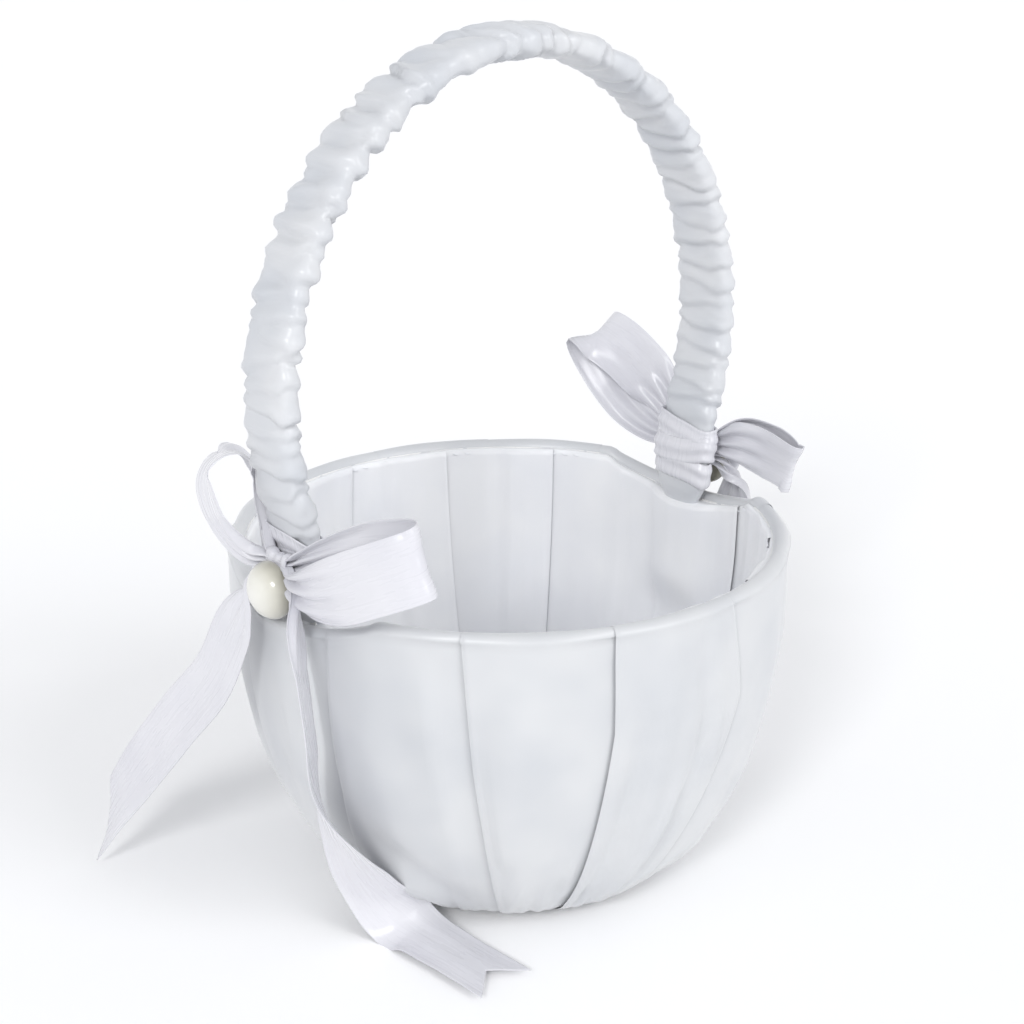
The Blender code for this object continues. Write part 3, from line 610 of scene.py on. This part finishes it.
# Puckers of the sleeve: distance along it from the near foot in mm, depth, width, slant across it
NEAR_PUCKERS = [
    (24, 0.5, 1.0, 1), (29.5, 0.6, 1.2, -1), (34, 0.5, 0.9, 1.5), (39.5, 0.8, 1.3, -0.5),
    (44, 0.5, 1.0, 1), (48, 0.6, 1.1, 0), (52.5, 0.9, 1.0, -0.8), (57.5, 0.6, 1.2, 1.2),
    (62.5, 1.1, 1.1, 2.4), (68, 0.6, 1.3, -1), (72, 0.5, 1.0, 0.5), (76, 0.9, 1.2, 1.2),
    (81, 0.9, 2.0, -0.6), (86, 0.6, 1.2, 0.6), (90, 1.1, 1.6, 0), (94.5, 0.7, 0.8, 0.4),
    (97, 1.0, 1.5, 0.4), (101, 0.5, 1.0, -0.6), (105, 1.2, 2.0, 0.5), (111.5, 1.2, 1.7, 1.0),
    (116, 0.6, 1.0, -0.8), (120.5, 1.3, 1.1, -1.4), (125.5, 0.9, 1.8, 1.2), (130.5, 1.0, 1.1, -1.8),
    (137, 0.5, 2.2, 2.2), (143, 0.5, 1.8, -3.0), (149, 0.8, 1.2, 5.0), (155, 0.9, 1.1, 4.0),
    (160, 0.9, 1.0, 3.2),
]
FAR_PUCKERS = [
    (164.5, 0.9, 1.0, 2.5), (170.5, 1.1, 1.2, 1.0), (176, 0.7, 1.2, -2.0), (181, 0.8, 1.1, 2.0),
    (187, 0.6, 1.4, -1.5), (192.5, 0.8, 1.1, 1.8), (198, 0.6, 1.2, -1.0), (203.5, 0.7, 1.1, 1.6),
    (209.5, 0.8, 1.2, -1.2), (215, 0.6, 1.0, 1.4), (221, 0.8, 1.2, 0.6), (226.5, 0.5, 1.0, -1.2),
    (232, 0.7, 1.1, 1.5), (238, 0.6, 1.2, -0.6), (243.5, 0.6, 1.0, 1.2), (249.5, 0.7, 1.2, -1.0),
    (255, 0.5, 1.0, 0.8), (260.5, 0.6, 1.2, 1.2), (266, 0.5, 1.0, -0.8), (271.5, 0.6, 1.1, 0.6),
    (277, 0.5, 1.0, 1.0), (282, 0.6, 1.1, -0.6), (287, 0.5, 0.9, 0.8), (291, 0.6, 1.0, -0.4),
    (295, 0.5, 0.9, 0.6),
]
# Hollows in the middle of the outer face: distance along it in mm, depth, half length
DIMPLES = [
    (60.5, 0.6, 1.8), (80.5, 1.3, 2.4), (89, 1.2, 1.6), (95.5, 1.2, 1.6), (103, 1.3, 2.0),
    (110.5, 1.1, 1.6), (119.5, 1.0, 1.6), (136, 0.9, 2.6), (144, 0.6, 2.0), (172, 0.8, 2.0),
    (190, 0.7, 2.0), (220, 0.7, 1.8), (246, 0.6, 1.8), (268, 0.5, 1.5),
]


def ruching(along, across, face):
    """How far the sleeve stands out, by distance along it, place across it (-1 to 1) and angle round it."""
    s = along / MM
    out = np.zeros_like(across) - 0.35
    for i, (place, depth, width, slant) in enumerate(NEAR_PUCKERS + FAR_PUCKERS):
        wander = 0.5 * np.sin(2.0 * face + i * 2.4) + 0.35 * np.sin(5.0 * face + i * 1.3)
        below = (s - place - slant * across + wander) * (1 if place < 160 else -1)
        sharp = np.where(below > 0, width * 0.5, width * 2.0)
        strength = 0.85 + 0.3 * np.sin(face + i * 1.9)
        out = out - 1.45 * depth * strength * np.exp(-(below / sharp) ** 2)
        out = out + 0.6 * depth * strength * np.exp(-((below - width * 1.4) / (width * 1.1)) ** 2)
    for place, depth, width in DIMPLES:
        middle = np.exp(-(across / 0.6) ** 2 - ((s - place) / width) ** 2)
        out = out - depth * np.clip(np.sin(face), 0, 1) * middle
    fine = np.sin(s * 1.9 + 2.0 * np.sin(face * 2 + s * 0.13)) * np.sin(s * 0.47 + face * 3.0)
    return (out + 0.13 * fine) * MM


def facing_out(line):
    """The direction out of the arch at each point of the handle's middle line."""
    tangents = np.gradient(line, axis=0)
    tangents /= np.linalg.norm(tangents, axis=1)[:, None]
    return np.stack([-tangents[:, 2], np.zeros(len(line)), tangents[:, 0]], axis=-1)


def handle_ring(point, outward, thick, wide):
    """A ring of points round one point of the handle's middle line."""
    level = np.zeros(len(wide))
    return point + outward * thick[:, None] + np.stack([level, wide, level], axis=-1)


def handle_sleeve(finish):
    """The ruched satin sleeve over its wadding."""
    line = handle_line()
    outward = facing_out(line)
    along = np.concatenate([[0.0], np.cumsum(np.linalg.norm(np.diff(line, axis=0), axis=1))])
    count = 48
    face = 2 * math.pi * np.arange(count) / count
    c, s = np.cos(face), np.sin(face)
    wide = np.sign(c) * np.abs(c) ** (2 / 2.7)
    thick = np.sign(s) * np.abs(s) ** (2 / 2.7)
    rows = []
    for i, point in enumerate(line):
        low = min(point[2], 1.0)
        across, out = half_width(low), half_thickness(low)
        calm = 0.45 + 0.55 * float(blend_step(low, 92 * MM, 104 * MM))
        stand = ruching(along[i], -wide, face) * calm
        y = wide * across + stand * c
        o = thick * out + stand * s * 0.9
        rows.append(handle_ring(point, outward[i], o, y))
    obj = cloth_grid("ruched_sleeve", np.array(rows), finish, close_columns=True, thickness=0.2 * MM)
    keep(obj, "satin", "handle_sleeve")


def handle_wadding(finish):
    """The wadding inside the sleeve, drawn in where the sleeve is puckered."""
    line = handle_line(2.0 * MM)[3:-3]
    outward = facing_out(line)
    face = 2 * math.pi * np.arange(24) / 24
    rows = []
    for i, point in enumerate(line):
        full = 1.0 if 0 < i < len(line) - 1 else 0.02
        y = np.cos(face) * max(half_width(point[2]) - 3.2 * MM, 1.2 * MM) * full
        o = np.sin(face) * max(half_thickness(point[2]) - 2.4 * MM, 0.4 * MM) * full
        lump = 1 + 0.05 * np.sin(i * 1.3 + 2 * face)
        rows.append(handle_ring(point, outward[i], o * lump, y * lump))
    obj = cloth_grid("sleeve_wadding", np.array(rows), finish, close_columns=True)
    keep(obj, "wadding", "handle_wadding")


# ---------------------------------------------------------------- the bows

def ribbon_frame(route):
    """Even points along a ribbon's route, its width and face directions, its width's share, its length."""
    soft = rounded_path(route, 12)
    rough = resampled(soft, max(60, 8 * len(route)))[:, :3] * MM
    length = float(np.linalg.norm(np.diff(rough, axis=0), axis=1).sum())
    path = resampled(soft, int(length / (0.8 * MM)))
    points = path[:, :3] * MM
    tangents = np.gradient(points, axis=0)
    tangents /= np.linalg.norm(tangents, axis=1)[:, None]
    widths = path[:, 3:6] - (path[:, 3:6] * tangents).sum(1)[:, None] * tangents
    widths /= np.linalg.norm(widths, axis=1)[:, None]
    return points, widths, np.cross(tangents, widths), np.clip(path[:, 6], 0.12, 1.0), length


def cut_ends(grid, c, length, cuts):
    """Cut both ends of a ribbon: square, to a swallowtail, or at a slant."""
    along = np.linspace(0.0, length, len(grid))
    reach = 20 * MM
    near_end = np.clip(along - (length - reach), 0.0, reach)
    for end, cut in enumerate(cuts):
        back = {"square": 0 * c, "swallow": 6.5 * MM * (1 - np.abs(c)), "slant": 14 * MM * (1 - c) / 2}[cut]
        wanted = along[:, None] - near_end[:, None] * back[None, :] / reach
        grid = grid if end else grid[::-1]
        for j in range(len(c)):
            grid[:, j] = np.column_stack([np.interp(wanted[:, j], along, grid[:, j, k]) for k in range(3)])
        grid = grid if end else grid[::-1]
    return grid


def ribbon(name, route, finish, node, turned, cuts=("square", "square"), curl=0.0):
    """A flat ribbon along a route of (point in mm, width direction, share of the width where gathered)."""
    points, widths, normals, share, length = ribbon_frame(route)
    along = np.linspace(0.0, length, len(points))
    half = RIBBON_WIDTH / 2
    folds = 3
    c = np.concatenate([[-1, -0.975, -0.94], np.linspace(-0.88, 0.88, 23), [0.94, 0.975, 1]])
    edge = np.where(np.abs(c) > 0.93, 0.13 * MM, 0.0)
    rows = []
    for i, point in enumerate(points):
        height = half / (2 * folds) * math.sqrt(1 - min(share[i], 0.999) ** 2)
        wave = height * np.cos(math.pi * folds * (c + 1) + 0.6 * math.sin(along[i] / (9 * MM)))
        bow_out = curl * half * 0.16 * (1 - c * c) * share[i]
        slack = 0.15 * MM * math.sin(along[i] / (7 * MM)) * np.cos(c * 2.2 + along[i] / (11 * MM))
        rows.append(point + widths[i] * (c * half * share[i])[:, None]
                    + normals[i] * (wave + bow_out + slack + edge)[:, None])
    grid = cut_ends(np.array(rows), c, length, cuts)
    if turned:
        grid = grid * (-1, -1, 1)
    obj = cloth_grid(name, grid, finish, thickness=0.2 * MM)
    keep(obj, "ribbon", node)


# Ribbon routes with the knot on -X: point in mm, direction of the width, share of the width left
NEAR_LOOPS = [
    (-65.4, -2.5, 91.0, 0, 0, 1, 0.2),
    (-65.6, 3.4, 91.0, 0, 0, 1, 0.22),
    (-68.0, 7.6, 91.4, -0.2, -0.5, 0.85, 0.42),
    (-70.4, 11.3, 94.4, -0.24, -0.8, 0.5, 0.75),
    (-72.4, 14.3, 99.2, -0.24, -0.92, 0.3, 1.0),
    (-73.2, 16.0, 105.2, -0.28, -0.9, 0.3, 1.0),
    (-72.4, 16.2, 109.6, -0.35, -0.87, 0.3, 1.0),
    (-70.4, 14.8, 112.6, -0.45, -0.84, 0.25, 1.0),
    (-67.2, 13.8, 113.4, -0.5, -0.82, 0.2, 1.0),
    (-64.0, 13.4, 111.2, -0.55, -0.75, 0.2, 0.9),
    (-61.7, 12.4, 106.0, -0.5, -0.6, 0.5, 0.7),
    (-62.8, 9.0, 97.5, -0.2, -0.2, 0.9, 0.45),
    (-64.8, 3.4, 91.2, 0, 0, 1, 0.22),
    (-64.8, -3.4, 91.2, 0, 0, 1, 0.22),
    (-64.4, -8.0, 92.8, 0, 0.15, 1, 0.42),
    (-62.0, -17.0, 95.6, 0, 0.36, 0.93, 0.8),
    (-58.5, -26.0, 98.6, 0, 0.39, 0.92, 1.0),
    (-56.5, -35.0, 101.3, 0, 0.39, 0.92, 1.0),
    (-57.4, -40.6, 102.4, 0, 0.39, 0.92, 1.0),
    (-60.2, -42.6, 102.2, 0, 0.39, 0.92, 1.0),
    (-63.6, -40.4, 100.8, 0, 0.39, 0.92, 1.0),
    (-67.0, -34.0, 97.6, 0, 0.39, 0.92, 1.0),
    (-69.2, -25.5, 93.4, 0, 0.38, 0.93, 0.97),
    (-69.4, -16.0, 89.8, 0, 0.3, 0.95, 0.78),
    (-68.2, -8.5, 88.6, 0, 0.12, 1, 0.48),
    (-66.2, -3.4, 89.8, 0, 0, 1, 0.24),
    (-65.8, 2.5, 90.6, 0, 0, 1, 0.2),
]
FAR_LOOPS = [
    (-65.4, -2.5, 91.0, 0, 0, 1, 0.2),
    (-65.6, 3.4, 91.0, 0, 0, 1, 0.22),
    (-67.5, 8.0, 93.0, 0.1, 0.1, 1, 0.5),
    (-69.5, 14.0, 94.2, 0.25, 0.3, 0.9, 0.85),
    (-71.0, 21.0, 92.4, 0.25, 0.37, 0.9, 1.0),
    (-71.4, 25.6, 90.2, 0.25, 0.37, 0.9, 1.0),
    (-70.0, 27.8, 89.0, 0.25, 0.37, 0.9, 1.0),
    (-68.2, 26.6, 89.6, 0.25, 0.37, 0.9, 1.0),
    (-66.8, 21.0, 91.6, 0.2, 0.3, 0.9, 1.0),
    (-65.6, 14.0, 92.6, 0.15, 0.2, 0.95, 0.85),
    (-65.0, 8.0, 92.0, 0, 0, 1, 0.5),
    (-64.8, 3.4, 91.2, 0, 0, 1, 0.22),
    (-64.8, -3.4, 91.2, 0, 0, 1, 0.22),
    (-65.2, -7.5, 94.0, -0.1, 0.3, 0.95, 0.42),
    (-65.0, -12.5, 99.0, -0.2, 0.6, 0.78, 0.75),
    (-63.6, -18.5, 104.8, -0.45, 0.6, 0.66, 1.0),
    (-61.8, -26.0, 110.4, -0.6, 0.58, 0.55, 1.0),
    (-60.4, -32.4, 113.2, -0.66, 0.56, 0.5, 1.0),
    (-60.4, -35.4, 112.4, -0.68, 0.55, 0.48, 1.0),
    (-61.4, -34.4, 108.6, -0.7, 0.54, 0.46, 1.0),
    (-62.4, -29.0, 102.0, -0.7, 0.54, 0.46, 1.0),
    (-63.0, -22.0, 96.4, -0.66, 0.5, 0.55, 0.95),
    (-64.2, -15.0, 92.2, -0.4, 0.36, 0.84, 0.72),
    (-66.2, -8.0, 90.6, -0.08, 0.12, 0.98, 0.42),
    (-66.2, -3.4, 90.8, 0, 0, 1, 0.24),
    (-65.8, 2.5, 90.6, 0, 0, 1, 0.2),
]
NEAR_TAILS = [
    (-82.6, 60.5, 4.6, -0.3, -0.9, 0.3, 1.0),
    (-81.0, 52.5, 17.1, -0.15, -0.95, 0.1, 1.0),
    (-79.0, 40.1, 32.3, -0.08, -0.96, -0.15, 1.0),
    (-77.0, 27.9, 46.8, -0.08, -0.96, -0.21, 1.0),
    (-74.0, 17.3, 59.8, -0.08, -0.96, -0.21, 1.0),
    (-71.8, 11.2, 72.7, -0.08, -0.96, -0.1, 1.0),
    (-70.2, 8.6, 79.5, -0.1, -0.85, 0.3, 0.9),
    (-67.8, 6.6, 84.5, 0, -0.5, 0.8, 0.55),
    (-64.9, 4.0, 87.2, 0, 0, 1, 0.24),
    (-64.5, 0.0, 87.2, 0, 0, 1, 0.2),
    (-64.9, -4.6, 87.2, 0, 0, 1, 0.24),
    (-67.4, -8.6, 85.2, -0.2, -0.4, 0.9, 0.42),
    (-69.8, -12.2, 80.5, -0.66, -0.6, 0.3, 0.7),
    (-71.6, -16.2, 72.0, -0.66, -0.75, 0, 1.0),
    (-72.0, -18.4, 62.0, -0.66, -0.75, 0, 1.0),
    (-71.0, -18.6, 50.0, -0.66, -0.75, 0, 1.0),
    (-67.2, -17.0, 39.0, -0.4, -0.9, 0, 1.0),
    (-62.2, -15.2, 28.0, 0.1, -0.98, -0.1, 1.0),
    (-57.2, -15.0, 17.5, 0.6, -0.75, -0.2, 1.0),
    (-51.5, -16.0, 8.0, 0.8, -0.55, -0.15, 1.0),
    (-47.5, -20.5, 2.6, 0.9, -0.4, 0, 1.0),
    (-46.0, -29.0, 1.3, 0.94, -0.3, 0, 1.0),
    (-45.2, -39.0, 1.1, 0.96, -0.25, 0, 1.0),
    (-44.5, -50.5, 1.1, 0.97, -0.2, 0, 1.0),
]
FAR_TAILS = [
    (-72.5, 1.0, 3.0, 0.1, -1, 0, 1.0),
    (-72.0, 0.5, 14.0, 0.05, -1, 0, 1.0),
    (-71.5, 1.0, 30.0, 0, -1, 0, 1.0),
    (-72.0, 3.0, 50.0, 0, -1, 0, 1.0),
    (-72.8, 5.5, 68.0, 0, -0.98, 0.2, 0.95),
    (-71.2, 8.6, 79.0, -0.1, -0.8, 0.5, 0.7),
    (-68.6, 8.6, 84.5, 0, -0.4, 0.9, 0.45),
    (-64.9, 4.6, 87.4, 0, 0, 1, 0.24),
    (-64.5, 0.0, 87.2, 0, 0, 1, 0.2),
    (-64.9, -4.6, 87.4, 0, 0, 1, 0.24),
    (-67.6, -9.5, 86.2, -0.1, -0.4, 0.9, 0.45),
    (-70.4, -13.0, 81.0, -0.1, -0.8, 0.5, 0.75),
    (-71.0, -18.0, 70.0, -0.2, -0.95, 0.1, 0.95),
    (-70.5, -24.0, 50.0, -0.3, -0.95, 0, 1.0),
    (-68.5, -30.0, 30.0, -0.4, -0.9, 0, 1.0),
    (-66.6, -34.5, 14.0, -0.42, -0.88, 0, 1.0),
    (-65.8, -36.5, 5.0, -0.42, -0.88, 0, 1.0),
]


# Turns of a tie in mm: bottom, top, slant, and how far it stands off the sleeve
TIE_TURNS = [(82.4, 89.2, 1.3, 0.1), (87.2, 93.6, -1.0, 0.5), (91.6, 97.8, 1.6, 0.25)]


def tie(word, side, finish):
    """Three slanting turns of narrow ribbon round the handle's foot, with both edges folded under."""
    count = 72
    face = 2 * math.pi * np.arange(count) / count
    c, s = np.cos(face), np.sin(face)
    wide = np.sign(c) * np.abs(c) ** (2 / 2.8)
    thick = np.sign(s) * np.abs(s) ** (2 / 2.8)
    heights, distances = leg_table()
    turned_under = [(1.9, 0.0), (0.9, 0.0), (0.25, 0.02), (0.0, 0.2), (0.2, 0.42)]
    for i, (low, high, slant, stand) in enumerate(TIE_TURNS):
        section = [(low + edge, out) for edge, out in turned_under]
        for t in np.linspace(0.1, 0.9, 13):
            crease = 0.25 * math.sin(math.pi * 3.5 * t + i)
            section.append((low + (high - low) * t, 0.45 + 0.3 * math.sin(math.pi * t) + crease))
        section += [(high - edge, out) for edge, out in reversed(turned_under)]
        rows = []
        for level, out in section:
            level = level + slant * c + 0.35 * np.sin(3 * face + i * 2 + side)
            out = (stand + out * (0.85 + 0.25 * np.sin(face * 2 + i))) * MM
            level = level * MM
            x = side * (np.interp(level, heights, distances) + thick * (half_thickness(level) + out))
            y = wide * (half_width(level) + out)
            rows.append(np.stack([x, y, level], axis=-1))
        obj = cloth_grid(f"{word}_tie_turn_{i + 1}", np.array(rows), finish, close_columns=True,
                         thickness=0.12 * MM)
        keep(obj, "ribbon", *([f"{word}_bow_tie"] if i == 0 else []))


def leg_table():
    """Heights and distances out of the handle's middle line along its leg."""
    line = handle_line()
    leg = line[:len(line) // 4]
    return leg[:, 2], -leg[:, 0]


def knot(word, side, finish):
    """The wrap round the middle of the bow: a creased band whose two ends go behind it."""
    rows = []
    count = 40
    face = 2 * math.pi * np.arange(count) / count
    c, s = np.cos(face), np.sin(face)
    section = [(-0.45, 0.62), (-0.8, 0.7), (-0.97, 0.84)] + [(t, 1.0) for t in np.linspace(-1, 1, 25)]
    section += [(0.97, 0.84), (0.8, 0.7), (0.45, 0.62)]
    for t, size in section:
        crease = 0.25 * MM * np.cos(t * 9.5 + 0.8 * np.sin(face * 2)) * (1 - t ** 4)
        half_z = (4.35 * MM + crease * 0.6) * size * (1 - 0.08 * math.cos(math.pi * t))
        half_x = (1.5 * MM + crease) * size
        z = KNOT_CENTRE[1] + np.sign(c) * np.abs(c) ** 0.6 * half_z
        x = KNOT_CENTRE[0] + np.sign(s) * np.abs(s) ** 0.6 * half_x
        rows.append(np.stack([side * x, np.full(count, 3.6 * MM * t), z], axis=-1))
    obj = cloth_grid(f"{word}_knot_wrap", np.array(rows), finish, close_columns=True, thickness=0.2 * MM)
    keep(obj, "ribbon", f"{word}_bow_knot")


def pearl(word, side, finish):
    """A flat-backed half pearl with a rounded rim, glued on the knot."""
    rows = []
    count = 64
    face = 2 * math.pi * np.arange(count) / count
    profile = [(0.0, 0.0), (3.0, 0.0), (5.6, 0.0), (6.2, 0.1), (6.46, 0.45)]
    for a in np.linspace(0.06, math.pi / 2 - 0.02, 26):
        profile.append((PEARL_RADIUS * math.cos(a), 0.75 + 5.0 * math.sin(a)))
    profile += [(0.0, 5.75)]
    for radius, out in profile:
        y = radius * MM * np.cos(face)
        z = PEARL_HEIGHT + radius * MM * np.sin(face)
        rows.append(np.stack([np.full(count, side * (PEARL_BACK + out * MM)), y, z], axis=-1))
    obj = cloth_grid(f"{word}_half_pearl", np.array(rows), finish, close_columns=True)
    keep(obj, "pearl", f"{word}_bow_pearl")


# ---------------------------------------------------------------- floor discs

def disc_cloth(name, node, radius, low, high, finish, hem_up):
    """A satin-faced disc with a turned edge and faint puckers where its cloth is drawn round the board."""
    rows = []
    count = 120
    face = 2 * math.pi * np.arange(count) / count
    middle = (low + high) / 2
    half = (high - low) / 2
    sign = 1 if hem_up else -1
    profile = [(r, sign * half) for r in np.linspace(0.001, 0.965, 26)]
    for t in np.linspace(0.3, math.pi - 0.3, 7):
        profile.append((1 - 0.035 * (1 - math.cos(t)), sign * half * math.cos(t)))
    profile += [(r, -sign * half) for r in np.linspace(0.95, 0.7, 8)]
    for share, lift in profile:
        pucker = 0.1 * MM * np.sin(face * 36 + 2 * np.sin(face * 5)) * blend_step(share, 0.8, 1.0)
        ripple = 0.08 * MM * np.sin(face * 3 + share * 6) * math.sin(math.pi * min(share, 1.0))
        r = radius * share + pucker * 0.5
        z = middle + lift + (ripple + pucker) * (0.5 if abs(lift) == half else 1.0) * sign * 0.6
        rows.append(bowl_point(face, r, np.clip(z, low, high)))
    obj = cloth_grid(name, np.array(rows), finish, close_columns=True)
    keep(obj, "satin", node)


def rim_stitches(finish):
    """The slip stitches that close the lining to the cover just below the rim, clear of the feet."""
    count = 118
    points = []
    faces = []
    for k in range(count):
        azimuth = 2 * math.pi * (k + 0.5) / count
        if abs(math.sin(azimuth)) < 0.24:
            continue
        middle = np.array([STITCH_RING * math.cos(azimuth), STITCH_RING * math.sin(azimuth),
                           BOWL_HEIGHT - 2.75 * MM - float(rim_dip(azimuth))])
        outward = np.array([math.cos(azimuth), math.sin(azimuth), 0.0])
        along = np.array([-math.sin(azimuth), math.cos(azimuth), 0.25])
        for end in (-1, 0, 1):
            size = 0.16 * MM if end == 0 else 0.09 * MM
            for turn in range(6):
                a = 2 * math.pi * turn / 6
                sunk = outward * (0.14 * MM * abs(end))
                points.append(middle + along * (0.75 * MM * end) + sunk
                              + size * (math.cos(a) * outward + math.sin(a) * np.array([0, 0, 1.0])))
        start = len(points) - 18
        for ring in (0, 6):
            for turn in range(6):
                following = (turn + 1) % 6
                faces.append((start + ring + turn, start + ring + following,
                              start + ring + 6 + following, start + ring + 6 + turn))
        faces.append(tuple(start + t for t in reversed(range(6))))
        faces.append(tuple(start + 12 + t for t in range(6)))
    mesh = bpy.data.meshes.new("rim_stitches")
    mesh.from_pydata([tuple(p) for p in points], [], faces)
    mesh.shade_smooth()
    obj = bpy.data.objects.new("rim_stitches", mesh)
    bpy.context.scene.collection.objects.link(obj)
    obj.data.materials.append(finish)
    keep(obj, "satin")


# ---------------------------------------------------------------- studio

def sky(scene):
    """A pale world, brightest near the horizon."""
    world = bpy.data.worlds.new("studio")
    scene.world = world
    world.use_nodes = True
    tree = world.node_tree
    background = tree.nodes["Background"]
    background.inputs["Strength"].default_value = 1.0
    where = tree.nodes.new("ShaderNodeTexCoord")
    split = tree.nodes.new("ShaderNodeSeparateXYZ")
    ramp = tree.nodes.new("ShaderNodeValToRGB")
    ramp.color_ramp.elements[0].color = (0.95, 0.95, 0.955, 1)
    ramp.color_ramp.elements[1].color = (0.5, 0.51, 0.53, 1)
    ramp.color_ramp.elements[0].position = 0.15
    ramp.color_ramp.elements[1].position = 0.85
    tree.links.new(where.outputs["Generated"], split.inputs["Vector"])
    tree.links.new(split.outputs["Z"], ramp.inputs["Fac"])
    tree.links.new(ramp.outputs["Color"], background.inputs["Color"])


def pale_floor(scene):
    """A wide floor just under the basket."""
    floor_mesh = bpy.data.meshes.new("floor")
    reach, level = 12.0, -0.0002
    corners = [(x * reach, y * reach, level) for x, y in ((-1, -1), (1, -1), (1, 1), (-1, 1))]
    floor_mesh.from_pydata(corners, [], [(0, 1, 2, 3)])
    floor = bpy.data.objects.new("studio_floor", floor_mesh)
    scene.collection.objects.link(floor)
    made, _, _, shader = new_material("pale_floor")
    shader.inputs["Base Color"].default_value = (0.97, 0.97, 0.975, 1)
    shader.inputs["Roughness"].default_value = 0.9
    shader.inputs["Specular IOR Level"].default_value = 0.1
    floor_mesh.materials.append(made)


def lamps(scene):
    """A soft key from the left and a softer fill from the front: where from, softness in degrees, power."""
    lights = [("key", (-0.85, -0.5, 0.6), 14, 0.9), ("fill", (0.2, -0.95, 0.6), 30, 0.75)]
    for name, place, softness, power in lights:
        data = bpy.data.lights.new(name, "SUN")
        data.angle = math.radians(softness)
        data.energy = power
        lamp = bpy.data.objects.new(name, data)
        scene.collection.objects.link(lamp)
        lamp.rotation_euler = Vector(place).to_track_quat("Z", "Y").to_euler()


def photo_camera(scene):
    """The camera, where the photo was taken from."""
    right = Vector((math.cos(CAMERA_TURN), -math.sin(CAMERA_TURN), 0.0))
    back = Vector((-math.sin(CAMERA_TURN) * math.cos(CAMERA_ELEVATION),
                   -math.cos(CAMERA_TURN) * math.cos(CAMERA_ELEVATION), math.sin(CAMERA_ELEVATION)))
    aim = right * CAMERA_AIM[0] + Vector((0, 0, CAMERA_AIM[1]))
    camera = bpy.data.objects.new("camera", bpy.data.cameras.new("camera"))
    scene.collection.objects.link(camera)
    camera.location = aim + back * CAMERA_DISTANCE
    camera.rotation_euler = (-back).to_track_quat("-Z", "Y").to_euler()
    camera.data.lens = LENS
    camera.data.sensor_width = 36.0
    camera.data.clip_start = 0.01
    camera.data.dof.use_dof = False
    scene.camera = camera


def studio():
    """World, floor, lamps and camera."""
    scene = bpy.context.scene
    scene.view_settings.view_transform = "Standard"
    scene.view_settings.exposure = 0.2
    sky(scene)
    pale_floor(scene)
    lamps(scene)
    photo_camera(scene)


# ---------------------------------------------------------------- the basket

studio()

cover_satin = satin("cover_satin", (0.61, 0.62, 0.635), (0.55, 0.565, 0.59), roughness=0.33)
# The lining's satin is set much lighter than the cover's, though both are white satin: painted light on the
# bowl's inside, which the lamps reach less.
lining_satin = satin("lining_satin", (0.84, 0.845, 0.86), (0.78, 0.79, 0.82), roughness=0.38)
sleeve_satin = satin("sleeve_satin", (0.62, 0.63, 0.65), (0.53, 0.55, 0.585), roughness=0.3, along_v=False)
ribbon_satin = satin("ribbon_satin", (0.68, 0.68, 0.715), (0.62, 0.62, 0.665), roughness=0.27)
pearl_gloss = pearl_material("pearl_gloss")
thread = speckled("sewing_thread", (0.86, 0.87, 0.9), (0.8, 0.81, 0.85), 0.6, 3000.0, 0.02 * MM)

cover(cover_satin)
lining_cloth(lining_satin)
rim_stitches(thread)
handle_sleeve(sleeve_satin)
handle_wadding(speckled("wadding", (0.92, 0.92, 0.91), (0.85, 0.85, 0.84), 0.95, 900.0, 0.3 * MM))
disc_cloth("base_cloth", "base_disc", 35.5 * MM, 0.0, 1.0 * MM, cover_satin, hem_up=False)
disc_cloth("floor_satin", "floor_cloth", 37 * MM, 9.3 * MM, 10.1 * MM, lining_satin,
           hem_up=True)

for word, side, loops, tails, tail_cuts in (("near", -1, NEAR_LOOPS, NEAR_TAILS, ("slant", "swallow")),
                                            ("far", 1, FAR_LOOPS, FAR_TAILS, ("swallow", "swallow"))):
    turned = side > 0
    tie(word, side, ribbon_satin)
    ribbon(f"{word}_loops", loops, ribbon_satin, f"{word}_bow_loops", turned)
    ribbon(f"{word}_tails", tails, ribbon_satin, f"{word}_bow_tails", turned, cuts=tail_cuts, curl=0.5)
    knot(word, side, ribbon_satin)
    pearl(word, side, pearl_gloss)

inner_finishes = {
    "bowl_shell": speckled("moulded_plastic", (0.86, 0.86, 0.85), (0.8, 0.8, 0.79), 0.45, 1500.0, 0.04 * MM),
    "floor_card": speckled("board", (0.72, 0.69, 0.63), (0.6, 0.57, 0.51), 0.9, 2500.0, 0.06 * MM),
    "handle_core": speckled("strip_plastic", (0.86, 0.86, 0.85), (0.8, 0.8, 0.79), 0.4, 1500.0, 0.03 * MM),
}
for word in ("near", "far"):
    for place in ("lower", "upper"):
        rivet = f"{word}_{place}_rivet"
        inner_finishes[rivet] = speckled(f"{rivet}_metal", (0.78, 0.78, 0.8), (0.7, 0.7, 0.72), 0.3, 2500.0,
                                         0.02 * MM, metallic=1.0)
for node, finish in inner_finishes.items():
    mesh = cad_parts[node].data
    mesh.materials.clear()
    mesh.materials.append(finish)
